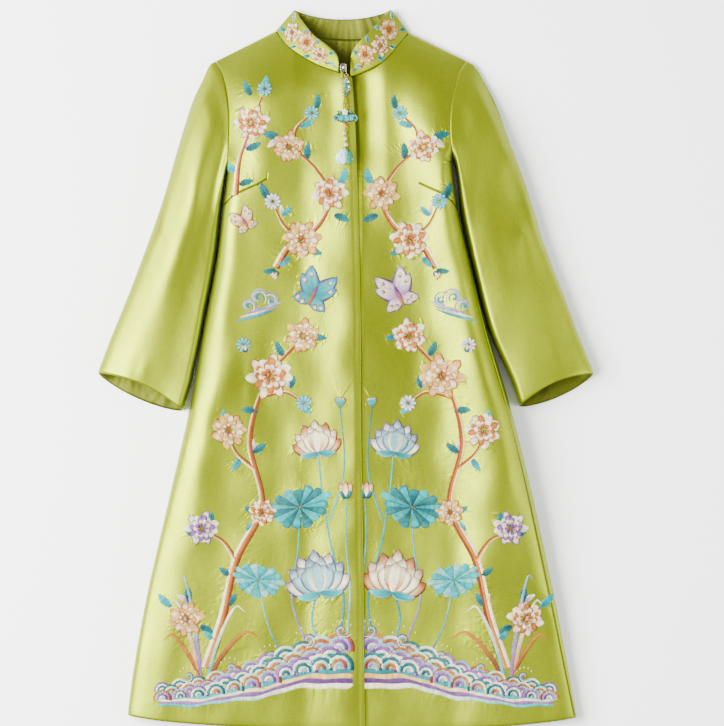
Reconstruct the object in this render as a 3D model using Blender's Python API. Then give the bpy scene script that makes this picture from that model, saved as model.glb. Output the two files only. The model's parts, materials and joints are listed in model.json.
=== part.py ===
"""A knee-length satin coat in the east asian style, with a stand collar, laid flat on its back.

Two fronts lap at the centre, the right one on top. They meet the back at the side and shoulder seams,
and two wide sleeves are set into the armholes. A jewelled pendant hangs from a button at the neck.
The coat lies with its front up: +X runs to the left sleeve, +Y to the collar, and +Z up from the table.
All sizes in the tables are millimetres. A height is measured from the table.
"""

import math

import bmesh
import bpy
from mathutils import Matrix, Vector

MM = 0.001

# Driving sizes of the cloth
CLOTH = 1.8
COLLAR_CLOTH = 2.4
FACING_CLOTH = 1.0
SEAM_GAP = 0.3
UNDERLAP = 25.0
SHOULDER_SEAM_HEIGHT = 9.0
BACK_SHOULDER_LIFT = SHOULDER_SEAM_HEIGHT - 2 * CLOTH - SEAM_GAP
FRONT_RISE = 110.0
BACK_RISE = 25.0
NECK_LEVEL = 540.0
ARMHOLE_DIP = 0.26
ARMHOLE_DIP_WIDTH = 45.0
LAP_FADE = 70.0
ARMHOLE_TURN = 42.0
ARMHOLE_ROLL = 9.0
ROLL_NEAR = 15.0
CLOSURE_LEVEL = 328.0
HEM_ROWS = 6

# Each section of the body: its level, its two side edges, the height of its top, how far the side
# rolls in, the height of the outermost edge, and the angle of each side seam round that roll.
BODY_COLUMNS = ("y", "left", "right", "crown", "roll", "edge", "left_seam", "right_seam")
BODY = (
    (-560.0, -342.5, 361.5, 25.0, 22.0, 11.0, -18.0, 16.0),
    (-470.0, -330.5, 345.5, 31.0, 25.0, 13.0, -24.0, 33.0),
    (-350.0, -308.8, 322.5, 37.0, 28.0, 16.0, -25.0, 37.0),
    (-176.0, -269.0, 284.8, 45.0, 32.0, 19.0, -25.0, 37.0),
    (-50.0, -240.4, 252.3, 50.0, 34.0, 21.0, -25.0, 35.0),
    (75.0, -217.8, 214.4, 55.0, 33.0, 23.0, -22.0, 28.0),
    (172.0, -199.3, 190.0, 59.0, 30.0, 25.0, -16.0, 10.0),
    (250.0, -190.3, 172.6, 61.0, 26.0, 26.0, -6.0, 0.0),
    (306.0, -183.9, 165.4, 61.0, 20.0, 26.0, 0.0, 0.0),
    (400.0, -181.5, 162.0, 57.0, 0.5, 24.0, 90.0, 90.0),
    (480.0, -200.0, 185.0, 53.0, 0.5, 18.0, 90.0, 90.0),
    (560.0, -200.0, 185.0, 50.0, 0.5, 18.0, 90.0, 90.0),
)

# Soft folds of the fronts: three points that the crest passes, its height, and its reach to each side
FOLD_COLUMNS = ("top", "middle", "low", "height", "reach_left", "reach_right")
FOLDS = (
    ((12.0, 452.0), (16.0, 80.0), (20.0, -556.0), 9.0, 90.0, 85.0),
    ((150.0, 355.0), (218.0, -60.0), (232.0, -556.0), 11.5, 72.0, 75.0),
    ((-150.0, 330.0), (-205.0, -60.0), (-285.0, -556.0), 4.0, 45.0, 90.0),
)
FOLD_FADE_TOP = 70.0

# Outlines, from the shoulder down or from the hem up
LEFT_ARMHOLE = (
    (-201.8, 479.1), (-192.8, 461.3), (-184.9, 431.7), (-181.0, 392.2), (-182.0, 342.7), (-183.9, 306.0),
)
RIGHT_ARMHOLE = (
    (186.5, 479.1), (177.6, 465.3), (169.7, 443.5), (162.8, 411.9), (160.9, 368.5), (165.4, 322.0),
)
LEFT_NECK_POINT = (-110.0, 525.3)
RIGHT_NECK_POINT = (98.4, 522.4)
LEFT_NECKLINE = ((-11.2, 458.5), (-43.9, 470.5), (-67.6, 483.8), (-91.5, 501.6), LEFT_NECK_POINT)
RIGHT_NECKLINE = ((6.7, 451.5), (39.2, 464.6), (62.9, 480.8), (83.7, 506.1), RIGHT_NECK_POINT)
BACK_NECK_DROP = 12.0
FRONT_EDGE = (
    (29.1, -556.0), (26.7, -295.3), (23.4, -78.3), (22.6, 80.2), (19.4, 231.8), (15.0, 368.5), (9.6, 452.0),
)
HEM_CENTRE = -558.4
HEM_BOW = 12.0
HEM_CORNER = 8.0
HEM_MIDDLE_X = 8.0
HEM_HALF_WIDTH = 349.0

# Sleeves: outer and inner edge from the armhole to the cuff
LEFT_SLEEVE_OUTER = (
    (-201.8, 479.1), (-210.6, 474.2), (-222.6, 449.5), (-236.4, 419.8), (-250.2, 378.2), (-266.0, 324.9),
    (-281.8, 269.6), (-299.9, 216.3), (-331.5, 131.3), (-367.2, 42.3), (-384.9, -4.2),
)
LEFT_SLEEVE_INNER = (
    (-183.9, 306.0), (-187.2, 293.3), (-193.6, 253.8), (-200.5, 216.3), (-209.6, 166.8), (-222.0, 97.7),
    (-232.5, 28.4), (-240.0, -20.0), (-252.0, -62.8),
)
RIGHT_SLEEVE_OUTER = (
    (186.5, 479.1), (197.5, 473.2), (217.2, 441.6), (237.0, 400.1), (252.7, 354.5), (266.6, 319.0),
    (288.3, 255.8), (304.1, 202.3), (320.9, 157.0), (337.4, 115.5), (358.2, 59.4), (384.2, -4.9),
)
RIGHT_SLEEVE_INNER = (
    (165.4, 322.0), (171.9, 307.1), (178.6, 277.5), (186.2, 230.2), (191.4, 202.3), (197.0, 175.6),
    (217.0, 103.1), (237.0, 40.8), (256.5, -17.3), (268.0, -56.0),
)
SLEEVE_EDGE_HEIGHT = 20.0
SLEEVE_CROWN = 48.0
CUFF_CROWN = 43.0
SLEEVE_BLEND = 0.32
CUFF_FRONT_SET_BACK = 11.0
CUFF_BACK_REACH = 13.0
CUFF_START = 0.8
SLEEVE_ROLLS = (48.0, 27.0)

# The stand collar: its top edge on each side, from the front end to the side fold
LEFT_COLLAR_TOP = (
    (-11.0, 474.0), (-14.1, 486.7), (-29.0, 501.6), (-49.8, 517.9), (-67.6, 540.2), (-80.3, 558.5),
)
RIGHT_COLLAR_TOP = ((7.3, 474.0), (8.1, 486.7), (15.5, 501.6), (33.3, 519.4), (51.2, 540.2), (70.4, 558.5))
BACK_COLLAR_TOP_Y = 544.2
COLLAR_FOLD_HEIGHT = 7.2
COLLAR_FOLD_TOP_HEIGHT = 13.0
COLLAR_GAP = 0.8
COLLAR_FOLD_ROLL = 14.0
COLLAR_FRONT_LIFT = 4.5
COLLAR_BACK_LIFT = 3.0

# The facing inside the back neck
FACING_LEFT, FACING_RIGHT = -76.0, 66.0
FACING_GAP = 0.5
FACING_DEPTH = 62.0

# Looks: colour, roughness, metallic
LOOKS = {
    "satin": ((0.46, 0.51, 0.06), 0.4, 0.0),
    "silver": ((0.8, 0.8, 0.78), 0.25, 1.0),
    "gold": ((0.78, 0.62, 0.32), 0.3, 1.0),
    "turquoise": ((0.12, 0.55, 0.55), 0.3, 0.0),
    "white": ((0.85, 0.83, 0.78), 0.3, 0.0),
    "pearl": ((0.85, 0.82, 0.76), 0.25, 0.0),
    "jade": ((0.25, 0.62, 0.5), 0.2, 0.0),
}

# Mesh counts
SKIRT_ROWS = 24
ARMHOLE_ROWS = 12
CLOSURE_STEPS = 4
NECKLINE_STEPS = ARMHOLE_ROWS - CLOSURE_STEPS - 1
ROLL_COLUMNS = 5
FRONT_COLUMNS = 18
BACK_HALF_COLUMNS = 10
NECK_COLUMN = 7
SLEEVE_RINGS = 17
COLLAR_ROWS = 4
COLLAR_BACK_STEPS = 14

# The jewelled button and the pendant that hangs from it
PENDANT_X = 0.5
PENDANT_TOP_Y = 457.0
PENDANT_CLEARANCE = 0.5
BUTTON_SIZE = (11.0, 13.5, 4.2)
BUTTON_CENTRE = (-4.2, 466.0)
WIRE = 0.55
LOOP_RADIUS = 1.75
JUMP_RING_RADIUS = 2.6
PEARL_RADIUS = 3.3


def mix(a, b, t):
    return a + (b - a) * t


def smooth(t):
    """0 to 1 with level ends."""
    t = min(1.0, max(0.0, t))
    return t * t * (3 - 2 * t)


def hermite(values, positions, at):
    """A smooth curve through values at rising positions, straight on beyond the ends."""
    last = len(positions) - 1
    i = 0
    while i < last - 1 and at > positions[i + 1]:
        i += 1

    def slope(k):
        low, high = max(0, k - 1), min(last, k + 1)
        return (values[high] - values[low]) / (positions[high] - positions[low])

    step = positions[i + 1] - positions[i]
    t = (at - positions[i]) / step
    if t < 0:
        return values[i] + slope(i) * (at - positions[i])
    if t > 1:
        return values[i + 1] + slope(i + 1) * (at - positions[i + 1])
    a, b = values[i], values[i + 1]
    return (
        a * (2 * t**3 - 3 * t**2 + 1)
        + b * (3 * t**2 - 2 * t**3)
        + slope(i) * step * (t**3 - 2 * t**2 + t)
        + slope(i + 1) * step * (t**3 - t**2)
    )


def body(name, y):
    """A column of the body table at a level."""
    column = BODY_COLUMNS.index(name)
    return hermite([row[column] for row in BODY], [row[0] for row in BODY], y)


def along(points, t):
    """The point at share t of the length of a smooth line through plan points."""
    lengths = [0.0]
    for a, b in zip(points, points[1:]):
        lengths.append(lengths[-1] + math.dist(a, b))
    at = t * lengths[-1]
    return tuple(hermite([p[axis] for p in points], lengths, at) for axis in (0, 1))


def side_seam_angle(side, y):
    """How far round the side roll the seam lies: 0 is the outermost edge, positive is the upper side."""
    return body("left_seam" if side < 0 else "right_seam", y)


def shoulder_line(x):
    """The level of the shoulder seam over x, level across the neck."""
    if x < 0:
        (x0, y0), (x1, y1) = LEFT_ARMHOLE[0], LEFT_NECK_POINT
    else:
        (x0, y0), (x1, y1) = RIGHT_ARMHOLE[0], RIGHT_NECK_POINT
    return min(NECK_LEVEL, y0 + (y1 - y0) * (x - x0) / (x1 - x0))


def front_edge_x(y):
    return hermite([p[0] for p in FRONT_EDGE], [p[1] for p in FRONT_EDGE], y)


def hem_line(x):
    share = abs(x - HEM_MIDDLE_X) / HEM_HALF_WIDTH
    return HEM_CENTRE + HEM_BOW * share**2 + HEM_CORNER * share**6


def fold_height(x, y):
    """What the soft folds add to the top of the coat."""
    total = 0.0
    for top, middle, low, height, reach_left, reach_right in FOLDS:
        crest = hermite([low[0], middle[0], top[0]], [low[1], middle[1], top[1]], y)
        reach = reach_left if x < crest else reach_right
        share = abs(x - crest) / reach
        if share < 1:
            fade = smooth((top[1] + FOLD_FADE_TOP - y) / FOLD_FADE_TOP)
            total += height * fade * math.cos(share * math.pi / 2) ** 2
    return total


def armhole_x(side, y):
    points = LEFT_ARMHOLE if side < 0 else RIGHT_ARMHOLE
    return hermite([p[0] for p in reversed(points)], [p[1] for p in reversed(points)], y)


def top_height(x, y):
    """The height of the coat's upper surface, before its sides roll under."""
    crown = body("crown", y) + fold_height(x, y)
    above_arm = smooth((y - 285.0) / 70.0)
    inset = min(x - armhole_x(-1, y), armhole_x(1, y) - x)
    dip = ARMHOLE_DIP * above_arm * max(0.0, 1 - max(0.0, inset) / ARMHOLE_DIP_WIDTH) ** 2
    below_shoulder = max(0.0, shoulder_line(x) - y) / FRONT_RISE
    rise = 1 - max(0.0, 1 - below_shoulder) ** 2
    return SHOULDER_SEAM_HEIGHT + (crown * (1 - dip) - SHOULDER_SEAM_HEIGHT) * rise


def lap_drop(x, y):
    """How far the left front lies below the right one, at and beside the front edge."""
    at_edge = CLOTH + 1.0 + 3.4 * smooth((y - 120.0) / 170.0)
    beyond = max(0.0, x - front_edge_x(y)) / LAP_FADE
    return at_edge * (1 - smooth(beyond))


def back_height(x, y):
    """The height of the back's underside: flat, but for a lift to the shoulder seam."""
    below = max(0.0, shoulder_line(x) - y) / BACK_RISE
    across_neck = smooth((LEFT_NECK_POINT[0] + 30 - x) / 30) + smooth((x - RIGHT_NECK_POINT[0] + 30) / 30)
    return BACK_SHOULDER_LIFT * max(0.0, 1 - below) ** 2 * min(1.0, across_neck)


def skin_pair(x, y, height, lift, inward, thickness, upper):
    """An outer point and the inner one behind it. lift is the sine of the angle round the side roll."""
    level = math.sqrt(max(0.0, 1 - lift * lift)) * thickness
    drop = -lift * thickness if upper else lift * thickness
    outer = Vector((x, y, height))
    inner = Vector((x + inward[0] * level, y + inward[1] * level, height + drop))
    return outer, inner


def wall(name, pairs, closed=False):
    """A closed cloth wall from rows of (outer, inner) points, open or closed round each row."""
    rows, columns = len(pairs), len(pairs[0])
    points = [pair[skin] * MM for skin in (0, 1) for row in pairs for pair in row]

    def index(skin, row, column):
        return (skin * rows + row) * columns + column % columns

    faces = []
    across = columns if closed else columns - 1
    for row in range(rows - 1):
        for column in range(across):
            for skin in (0, 1):
                corners = [
                    index(skin, row, column),
                    index(skin, row, column + 1),
                    index(skin, row + 1, column + 1),
                    index(skin, row + 1, column),
                ]
                faces.append(corners if skin == 0 else corners[::-1])
    for row in (0, rows - 1):
        for column in range(across):
            a, b = index(0, row, column), index(0, row, column + 1)
            c, d = index(1, row, column + 1), index(1, row, column)
            faces.append([b, a, d, c] if row == 0 else [a, b, c, d])
    if not closed:
        for column in (0, columns - 1):
            for row in range(rows - 1):
                a, b = index(0, row, column), index(0, row + 1, column)
                c, d = index(1, row + 1, column), index(1, row, column)
                faces.append([a, b, c, d] if column == 0 else [b, a, d, c])
    mesh = bpy.data.meshes.new(name)
    mesh.from_pydata([p[:] for p in points], [], faces)
    shaped = bmesh.new()
    shaped.from_mesh(mesh)
    bmesh.ops.recalc_face_normals(shaped, faces=shaped.faces)
    shaped.to_mesh(mesh)
    shaped.free()
    mesh.shade_smooth()
    mesh.set_sharp_from_angle(angle=math.radians(50))
    return add_object(name, mesh)


def add_object(name, mesh):
    obj = bpy.data.objects.new(name, mesh)
    bpy.context.scene.collection.objects.link(obj)
    return obj


def dress(obj, look):
    """Gives an object its own material, from a named look."""
    colour, roughness, metallic = LOOKS[look]
    made = bpy.data.materials.new(f"{obj.name}_{look}")
    made.use_nodes = True
    shader = made.node_tree.nodes["Principled BSDF"]
    shader.inputs["Base Color"].default_value = (*colour, 1.0)
    shader.inputs["Roughness"].default_value = roughness
    shader.inputs["Metallic"].default_value = metallic
    made.diffuse_color = (*colour, 1.0)
    obj.data.materials.clear()
    obj.data.materials.append(made)
    return obj


def armhole_levels(side):
    """Levels of the armhole's rows, from the underarm up, closer together at both ends."""
    points = LEFT_ARMHOLE if side < 0 else RIGHT_ARMHOLE
    low, high = points[-1][1], points[0][1]
    shares = [0.5 - 0.5 * math.cos(math.pi * k / ARMHOLE_ROWS) for k in range(ARMHOLE_ROWS + 1)]
    return [mix(low, high, share) for share in shares]


def armhole_angle(side, y):
    """Above the underarm, the angle round the roll at which a panel ends and the sleeve begins."""
    low = (LEFT_ARMHOLE if side < 0 else RIGHT_ARMHOLE)[-1][1]
    return 90.0 * math.sqrt(smooth((y - low) / ARMHOLE_TURN))


def roll_reach(side, y):
    """How far the side roll reaches in. It tightens above the underarm."""
    low = (LEFT_ARMHOLE if side < 0 else RIGHT_ARMHOLE)[-1][1]
    if y <= low:
        return body("roll", y)
    return mix(body("roll", low), ARMHOLE_ROLL, smooth((y - low) / ARMHOLE_TURN))


def edge_height(y):
    """The height of the seam line at the side, falling to the shoulder's own height at its top."""
    return mix(body("edge", y), SHOULDER_SEAM_HEIGHT - CLOTH, smooth((y - 330.0) / 140.0))


def seam_start(side, y, angle):
    """The plan place where a panel begins: on the side roll at an angle, or on the armhole."""
    low = (LEFT_ARMHOLE if side < 0 else RIGHT_ARMHOLE)[-1][1]
    if y > low:
        return armhole_x(side, y)
    edge = body("left" if side < 0 else "right", y)
    return edge - side * body("roll", y) * (1 - math.cos(math.radians(angle)))


def armhole_seam(side, y, upper):
    """The height of the armhole seam on the front or the back, and its height share."""
    lift = math.sin(math.radians(armhole_angle(side, y)))
    x = armhole_x(side, y)
    goal = top_height(x, y) if upper else back_height(x, y)
    return mix(edge_height(y), goal, lift), lift


def spread(column, columns, near, far):
    """The distance of a column from the seam: even over the near part, then growing."""
    near = max(near, ROLL_NEAR)
    if column <= ROLL_COLUMNS:
        return near * column / ROLL_COLUMNS
    t = (column - ROLL_COLUMNS) / (columns - ROLL_COLUMNS)
    return near + (0.72 * t + 0.28 * t**2) * (far - near)


def panel_columns(side, y, angle, end_x, columns, upper):
    """Plan place, angle and share of the flat part, for each column of a panel's row."""
    goal = 90.0 if upper else -90.0
    reach = roll_reach(side, y)
    tall = body("crown", y) - edge_height(y) if upper else edge_height(y)
    round_length = math.radians(abs(goal - angle)) * 0.5 * (reach + tall)
    start_x = seam_start(side, y, angle)
    flat_start = start_x - side * reach * math.cos(math.radians(angle))
    flat = abs(end_x - flat_start)
    for column in range(columns + 1):
        distance = spread(column, columns, round_length, round_length + flat)
        if distance < round_length - 1e-6:
            at = mix(angle, goal, distance / round_length)
            x = start_x - side * reach * (math.cos(math.radians(angle)) - math.cos(math.radians(at)))
            yield x, at, 0.0
        else:
            t = (distance - round_length) / flat
            yield mix(flat_start, end_x, t), goal, t


def inner_boundary(side):
    """The front's inner edge from the hem up: centre front, its short top edge, then the neckline."""
    set_back = 0.0 if side < 0 else UNDERLAP
    neckline = LEFT_NECKLINE if side < 0 else RIGHT_NECKLINE
    top_y = FRONT_EDGE[-1][1] - (0.0 if side < 0 else 2.0)
    hem_y = hem_line(FRONT_EDGE[0][0] - set_back)
    levels = [mix(hem_y, CLOSURE_LEVEL, row / SKIRT_ROWS) for row in range(SKIRT_ROWS + 1)]
    levels += [mix(CLOSURE_LEVEL, top_y, step / CLOSURE_STEPS) for step in range(1, CLOSURE_STEPS + 1)]
    rows = [(front_edge_x(y) - set_back, y) for y in levels]
    return rows + [along(neckline, step / NECKLINE_STEPS) for step in range(NECKLINE_STEPS + 1)]


def row_level(side, row):
    """The level of a row's outer end, on the side seam or the armhole."""
    if row > SKIRT_ROWS:
        return armhole_levels(side)[row - SKIRT_ROWS]
    low = (LEFT_ARMHOLE if side < 0 else RIGHT_ARMHOLE)[-1][1]
    return mix(hem_line(side * HEM_HALF_WIDTH), low, row / SKIRT_ROWS)


def hem_bend(row, x, from_x, from_y, to_x, to_y, t):
    """Near the hem, what a straight row lacks to follow the hem line."""
    if row >= HEM_ROWS:
        return 0.0
    return (1 - row / HEM_ROWS) * (hem_line(x) - mix(hem_line(from_x), hem_line(to_x), t))


def front_row(side, row, inner_end):
    """One row of a front, from the side seam or armhole to the centre, as (outer, inner) pairs."""
    y_outer = row_level(side, row)
    skirt = row <= SKIRT_ROWS
    angle = side_seam_angle(side, y_outer) if skirt else armhole_angle(side, y_outer)
    middle = edge_height(y_outer)
    pairs = []
    start_x = seam_start(side, y_outer, angle)
    for x, at, t in panel_columns(side, y_outer, angle, inner_end[0], FRONT_COLUMNS, True):
        y = mix(y_outer, inner_end[1], t) + hem_bend(row, x, start_x, y_outer, inner_end[0], inner_end[1], t)
        lift = math.sin(math.radians(at))
        goal = top_height(x, y) - (lap_drop(x, y) if side > 0 else 0.0)
        height = mix(middle, goal, lift) if lift > 0 else middle + middle * lift
        pairs.append(skin_pair(x, y, height, abs(lift), (-side, 0.0), CLOTH, lift >= 0))
    return pairs


def make_front(name, side):
    rows = inner_boundary(side)
    pairs = [front_row(side, row, rows[row]) for row in range(len(rows))]
    return wall(name, pairs)


def back_top_line(x):
    """The back's top edge above the shoulder points: shoulder seams and a shallow neckline."""
    if x <= LEFT_NECK_POINT[0]:
        (x0, y0), (x1, y1) = LEFT_ARMHOLE[0], LEFT_NECK_POINT
        return mix(y0, y1, (x - x0) / (x1 - x0))
    if x >= RIGHT_NECK_POINT[0]:
        (x0, y0), (x1, y1) = RIGHT_ARMHOLE[0], RIGHT_NECK_POINT
        return mix(y0, y1, (x - x0) / (x1 - x0))
    t = (x - LEFT_NECK_POINT[0]) / (RIGHT_NECK_POINT[0] - LEFT_NECK_POINT[0])
    straight = mix(LEFT_NECK_POINT[1], RIGHT_NECK_POINT[1], t)
    return straight - BACK_NECK_DROP * math.sin(math.pi * t)


def back_half_row(side, row, middle_x):
    """Half a row of the back, from its side seam or armhole to middle_x, as (outer, inner) pairs."""
    y_outer = row_level(side, row)
    skirt = row <= SKIRT_ROWS
    middle = edge_height(y_outer)
    if skirt:
        angle = side_seam_angle(side, y_outer)
        angle -= math.degrees(SEAM_GAP / (0.5 * (body("roll", y_outer) + middle)))
    else:
        angle = -armhole_angle(side, y_outer)
    start_x = seam_start(side, y_outer, angle)
    top_share = smooth((row - SKIRT_ROWS) / ARMHOLE_ROWS) ** 1.5
    shoulder = (LEFT_ARMHOLE if side < 0 else RIGHT_ARMHOLE)[0][1]
    columns = list(panel_columns(side, y_outer, angle, middle_x, BACK_HALF_COLUMNS, False))
    neck_x = (LEFT_NECK_POINT if side < 0 else RIGHT_NECK_POINT)[0]
    at_neck = columns[NECK_COLUMN][2]
    lack = top_share * (neck_x - columns[NECK_COLUMN][0]) if not skirt else 0.0
    pairs = []
    for x, at, t in columns:
        x += lack * (t / at_neck if t < at_neck else (1 - t) / (1 - at_neck))
        y = y_outer
        if row < HEM_ROWS:
            y += (1 - row / HEM_ROWS) * (hem_line(x) - hem_line(start_x))
        if not skirt:
            y += (back_top_line(x) - shoulder) * top_share
        lift = math.sin(math.radians(at))
        if lift > 0:
            height = mix(middle, top_height(x, y), lift)
        else:
            height = middle + (middle - back_height(x, y)) * lift
        pairs.append(skin_pair(x, y, height, abs(lift), (-side, 0.0), CLOTH, lift > 0))
    return pairs


def make_back(name):
    """Both halves of each row are brought to one level where they meet in the middle."""
    middle_x = HEM_MIDDLE_X - 10.0
    last = BACK_HALF_COLUMNS
    pairs = []
    for row in range(SKIRT_ROWS + ARMHOLE_ROWS + 1):
        halves = [back_half_row(side, row, middle_x) for side in (-1, 1)]
        level = 0.5 * (halves[0][-1][0].y + halves[1][-1][0].y)
        for half in halves:
            lack = level - half[-1][0].y
            for column, pair in enumerate(half):
                for point in pair:
                    point.y += lack * (column / last) ** 2
        pairs.append(halves[0][:-1] + halves[1][::-1])
    return wall(name, pairs)


def distance_to_line(point, line):
    """The plan distance from a point to a line of plan points."""
    nearest = math.inf
    for a, b in zip(line, line[1:]):
        run = (b[0] - a[0], b[1] - a[1])
        length = run[0] ** 2 + run[1] ** 2
        t = ((point[0] - a[0]) * run[0] + (point[1] - a[1]) * run[1]) / length
        t = min(1.0, max(0.0, t))
        nearest = min(nearest, math.dist(point, (a[0] + run[0] * t, a[1] + run[1] * t)))
    return nearest


def rolled(distance, reach):
    """The height share at a distance from an edge that rolls in over reach."""
    if distance >= reach:
        return 1.0
    return math.sqrt(max(0.0, 1 - (1 - distance / reach) ** 2))


def sleeve_skins(side, ring, column, upper):
    """An (outer, inner) pair of a sleeve. Column 0 is its outer edge, the last one its inner edge."""
    outer_line = LEFT_SLEEVE_OUTER if side < 0 else RIGHT_SLEEVE_OUTER
    inner_line = LEFT_SLEEVE_INNER if side < 0 else RIGHT_SLEEVE_INNER
    at_edge = column in (0, ARMHOLE_ROWS)
    k = ring / SLEEVE_RINGS
    k = 0.7 * k + 0.3 * k**2
    w = 0.5 - 0.5 * math.cos(math.pi * column / ARMHOLE_ROWS)
    outer_end, inner_end = along(outer_line, k), along(inner_line, k)
    levels = armhole_levels(side)
    seam_y = levels[ARMHOLE_ROWS - column]
    seam_x = armhole_x(side, seam_y)
    seam_z, seam_lift = armhole_seam(side, seam_y, upper)
    cap = (1 - k) ** 3
    x = mix(outer_end[0], inner_end[0], w) + side * SEAM_GAP
    x += cap * (seam_x - mix(outer_line[0][0], inner_line[0][0], w))
    y = mix(outer_end[1], inner_end[1], w)
    y += cap * (seam_y - mix(outer_line[0][1], inner_line[0][1], w))
    if k > CUFF_START:
        before = along(outer_line, k - 0.05)
        down = Vector((outer_end[0] - before[0], outer_end[1] - before[1])).normalized()
        reach = -CUFF_FRONT_SET_BACK if upper else CUFF_BACK_REACH
        shift = reach * math.sin(math.pi * w) * ((k - CUFF_START) / (1 - CUFF_START)) ** 2
        x += down.x * shift
        y += down.y * shift
    blend = smooth(k / SLEEVE_BLEND)
    edge = mix(edge_height(seam_y), SLEEVE_EDGE_HEIGHT, blend)
    outer_roll, inner_roll = SLEEVE_ROLLS
    lift = rolled(distance_to_line((x, y), outer_line), outer_roll)
    lift *= rolled(distance_to_line((x, y), inner_line), inner_roll)
    lift = 0.0 if at_edge else lift
    crown = mix(SLEEVE_CROWN, CUFF_CROWN, smooth((k - 0.5) / 0.5))
    height = mix(edge, crown, lift) if upper else mix(edge, 0.0, min(1.0, 1.25 * lift))
    if not at_edge:
        height = mix(seam_z, height, blend)
        lift = mix(max(seam_lift, 0.5), lift, blend)
    inward = Vector((inner_end[0] - outer_end[0], inner_end[1] - outer_end[1])).normalized()
    inward = -inward if w > 0.5 else inward
    return skin_pair(x, y, height, lift, inward, CLOTH, upper)


def make_sleeve(name, side):
    pairs = []
    for ring in range(SLEEVE_RINGS + 1):
        upper = [sleeve_skins(side, ring, column, True) for column in range(ARMHOLE_ROWS + 1)]
        lower = [sleeve_skins(side, ring, column, False) for column in range(1, ARMHOLE_ROWS)]
        pairs.append(upper + lower[::-1])
    return wall(name, pairs, closed=True)


def collar_stations():
    """Stations round the collar: bottom point, top point, upper or lower side, fold line and inward way."""
    left_fold = (LEFT_NECK_POINT, LEFT_COLLAR_TOP[-1])
    right_fold = (RIGHT_NECK_POINT, RIGHT_COLLAR_TOP[-1])
    shares = [step / NECKLINE_STEPS for step in range(NECKLINE_STEPS)]
    stations = [
        (along(LEFT_NECKLINE, share), along(LEFT_COLLAR_TOP, share), True, left_fold, 1)
        for share in shares
    ]
    for step in range(COLLAR_BACK_STEPS + 1):
        share = 0.5 - 0.5 * math.cos(math.pi * step / COLLAR_BACK_STEPS)
        x = mix(LEFT_NECK_POINT[0], RIGHT_NECK_POINT[0], share)
        top_x = mix(left_fold[1][0], right_fold[1][0], share)
        top_y = mix(BACK_COLLAR_TOP_Y, left_fold[1][1], abs(2 * share - 1) ** 2.2)
        inward, fold = (1, left_fold) if share < 0.5 else (-1, right_fold)
        stations.append(((x, back_top_line(x)), (top_x, top_y), False, fold, inward))
    stations += [
        (along(RIGHT_NECKLINE, share), along(RIGHT_COLLAR_TOP, share), True, right_fold, -1)
        for share in reversed(shares)
    ]
    return stations


def make_collar(name):
    pairs = []
    for row in range(COLLAR_ROWS + 1):
        k = row / COLLAR_ROWS
        ring = []
        for bottom, top, upper, fold, inward in collar_stations():
            share = mix(COLLAR_GAP / math.dist(bottom, top), 1.0, k)
            x, y = mix(bottom[0], top[0], share), mix(bottom[1], top[1], share)
            lift = rolled(distance_to_line((x, y), fold), COLLAR_FOLD_ROLL)
            if distance_to_line(bottom, fold) < 0.01:
                lift = 0.0
            if upper:
                goal = top_height(*bottom) - (lap_drop(*bottom) if bottom[0] > 0 else 0.0)
                goal += COLLAR_FRONT_LIFT * math.sin(k * math.pi * 0.6)
            else:
                goal = back_height(*bottom) * (1 - k) + COLLAR_BACK_LIFT * k**1.5
            fold_height_here = mix(COLLAR_FOLD_HEIGHT, COLLAR_FOLD_TOP_HEIGHT, k)
            height = mix(fold_height_here, goal, lift)
            ring.append(skin_pair(x, y, height, lift, (inward, 0.0), COLLAR_CLOTH, upper))
        pairs.append(ring)
    return wall(name, pairs)


def make_back_neck_facing(name):
    """The facing lies on the inside of the back, from the neckline down."""
    pairs = []
    for row in range(6):
        k = row / 5
        line = []
        for column in range(15):
            x = mix(FACING_LEFT, FACING_RIGHT, column / 14)
            arc = math.sin(math.pi * column / 14) ** 0.5
            y = back_top_line(x) - 0.6 - mix(2.0, 12.0 + (FACING_DEPTH - 12.0) * arc, k)
            height = back_height(x, y) + CLOTH + FACING_GAP
            line.append((Vector((x, y, height)), Vector((x, y, height + FACING_CLOTH))))
        pairs.append(line)
    return wall(name, pairs)


def pendant_line():
    """Height at the top hinge and slope of the straight line on which the pendant rests."""
    low_y, high_y = 318.0, PENDANT_TOP_Y
    slope = (top_height(0.0, low_y) - top_height(0.0, high_y)) / (high_y - low_y)
    need = 0.0
    for step in range(30):
        y = mix(low_y, high_y, step / 29)
        for x in (-24.0, -12.0, 0.0, 8.0, 14.0):
            if x < front_edge_x(y):
                need = max(need, top_height(x, y) - slope * (high_y - y))
    return need + PENDANT_CLEARANCE, math.atan(slope)


REST_HEIGHT, REST_SLOPE = pendant_line()


def pendant_frame():
    """Turns the pendant's own frame, x across, y down its length, z up, into the coat's."""
    place = Matrix.Translation(Vector((PENDANT_X, PENDANT_TOP_Y, REST_HEIGHT)) * MM)
    return place @ Matrix.Rotation(-REST_SLOPE, 4, "X")


def solid(name, build):
    """An object whose mesh a function fills through bmesh."""
    mesh = bpy.data.meshes.new(name)
    shaped = bmesh.new()
    build(shaped)
    shaped.to_mesh(mesh)
    shaped.free()
    mesh.shade_smooth()
    mesh.set_sharp_from_angle(angle=math.radians(40))
    return add_object(name, mesh)


def ball(name, at, size, rings=6):
    """An ellipsoid of full size (x, y, z) at a place, in millimetres."""

    def build(shaped):
        bmesh.ops.create_uvsphere(shaped, u_segments=2 * rings, v_segments=rings, radius=0.5 * MM)
        shaped.transform(Matrix.Diagonal((*size, 1.0)))
        shaped.transform(Matrix.Translation(Vector(at) * MM))

    return solid(name, build)


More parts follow.
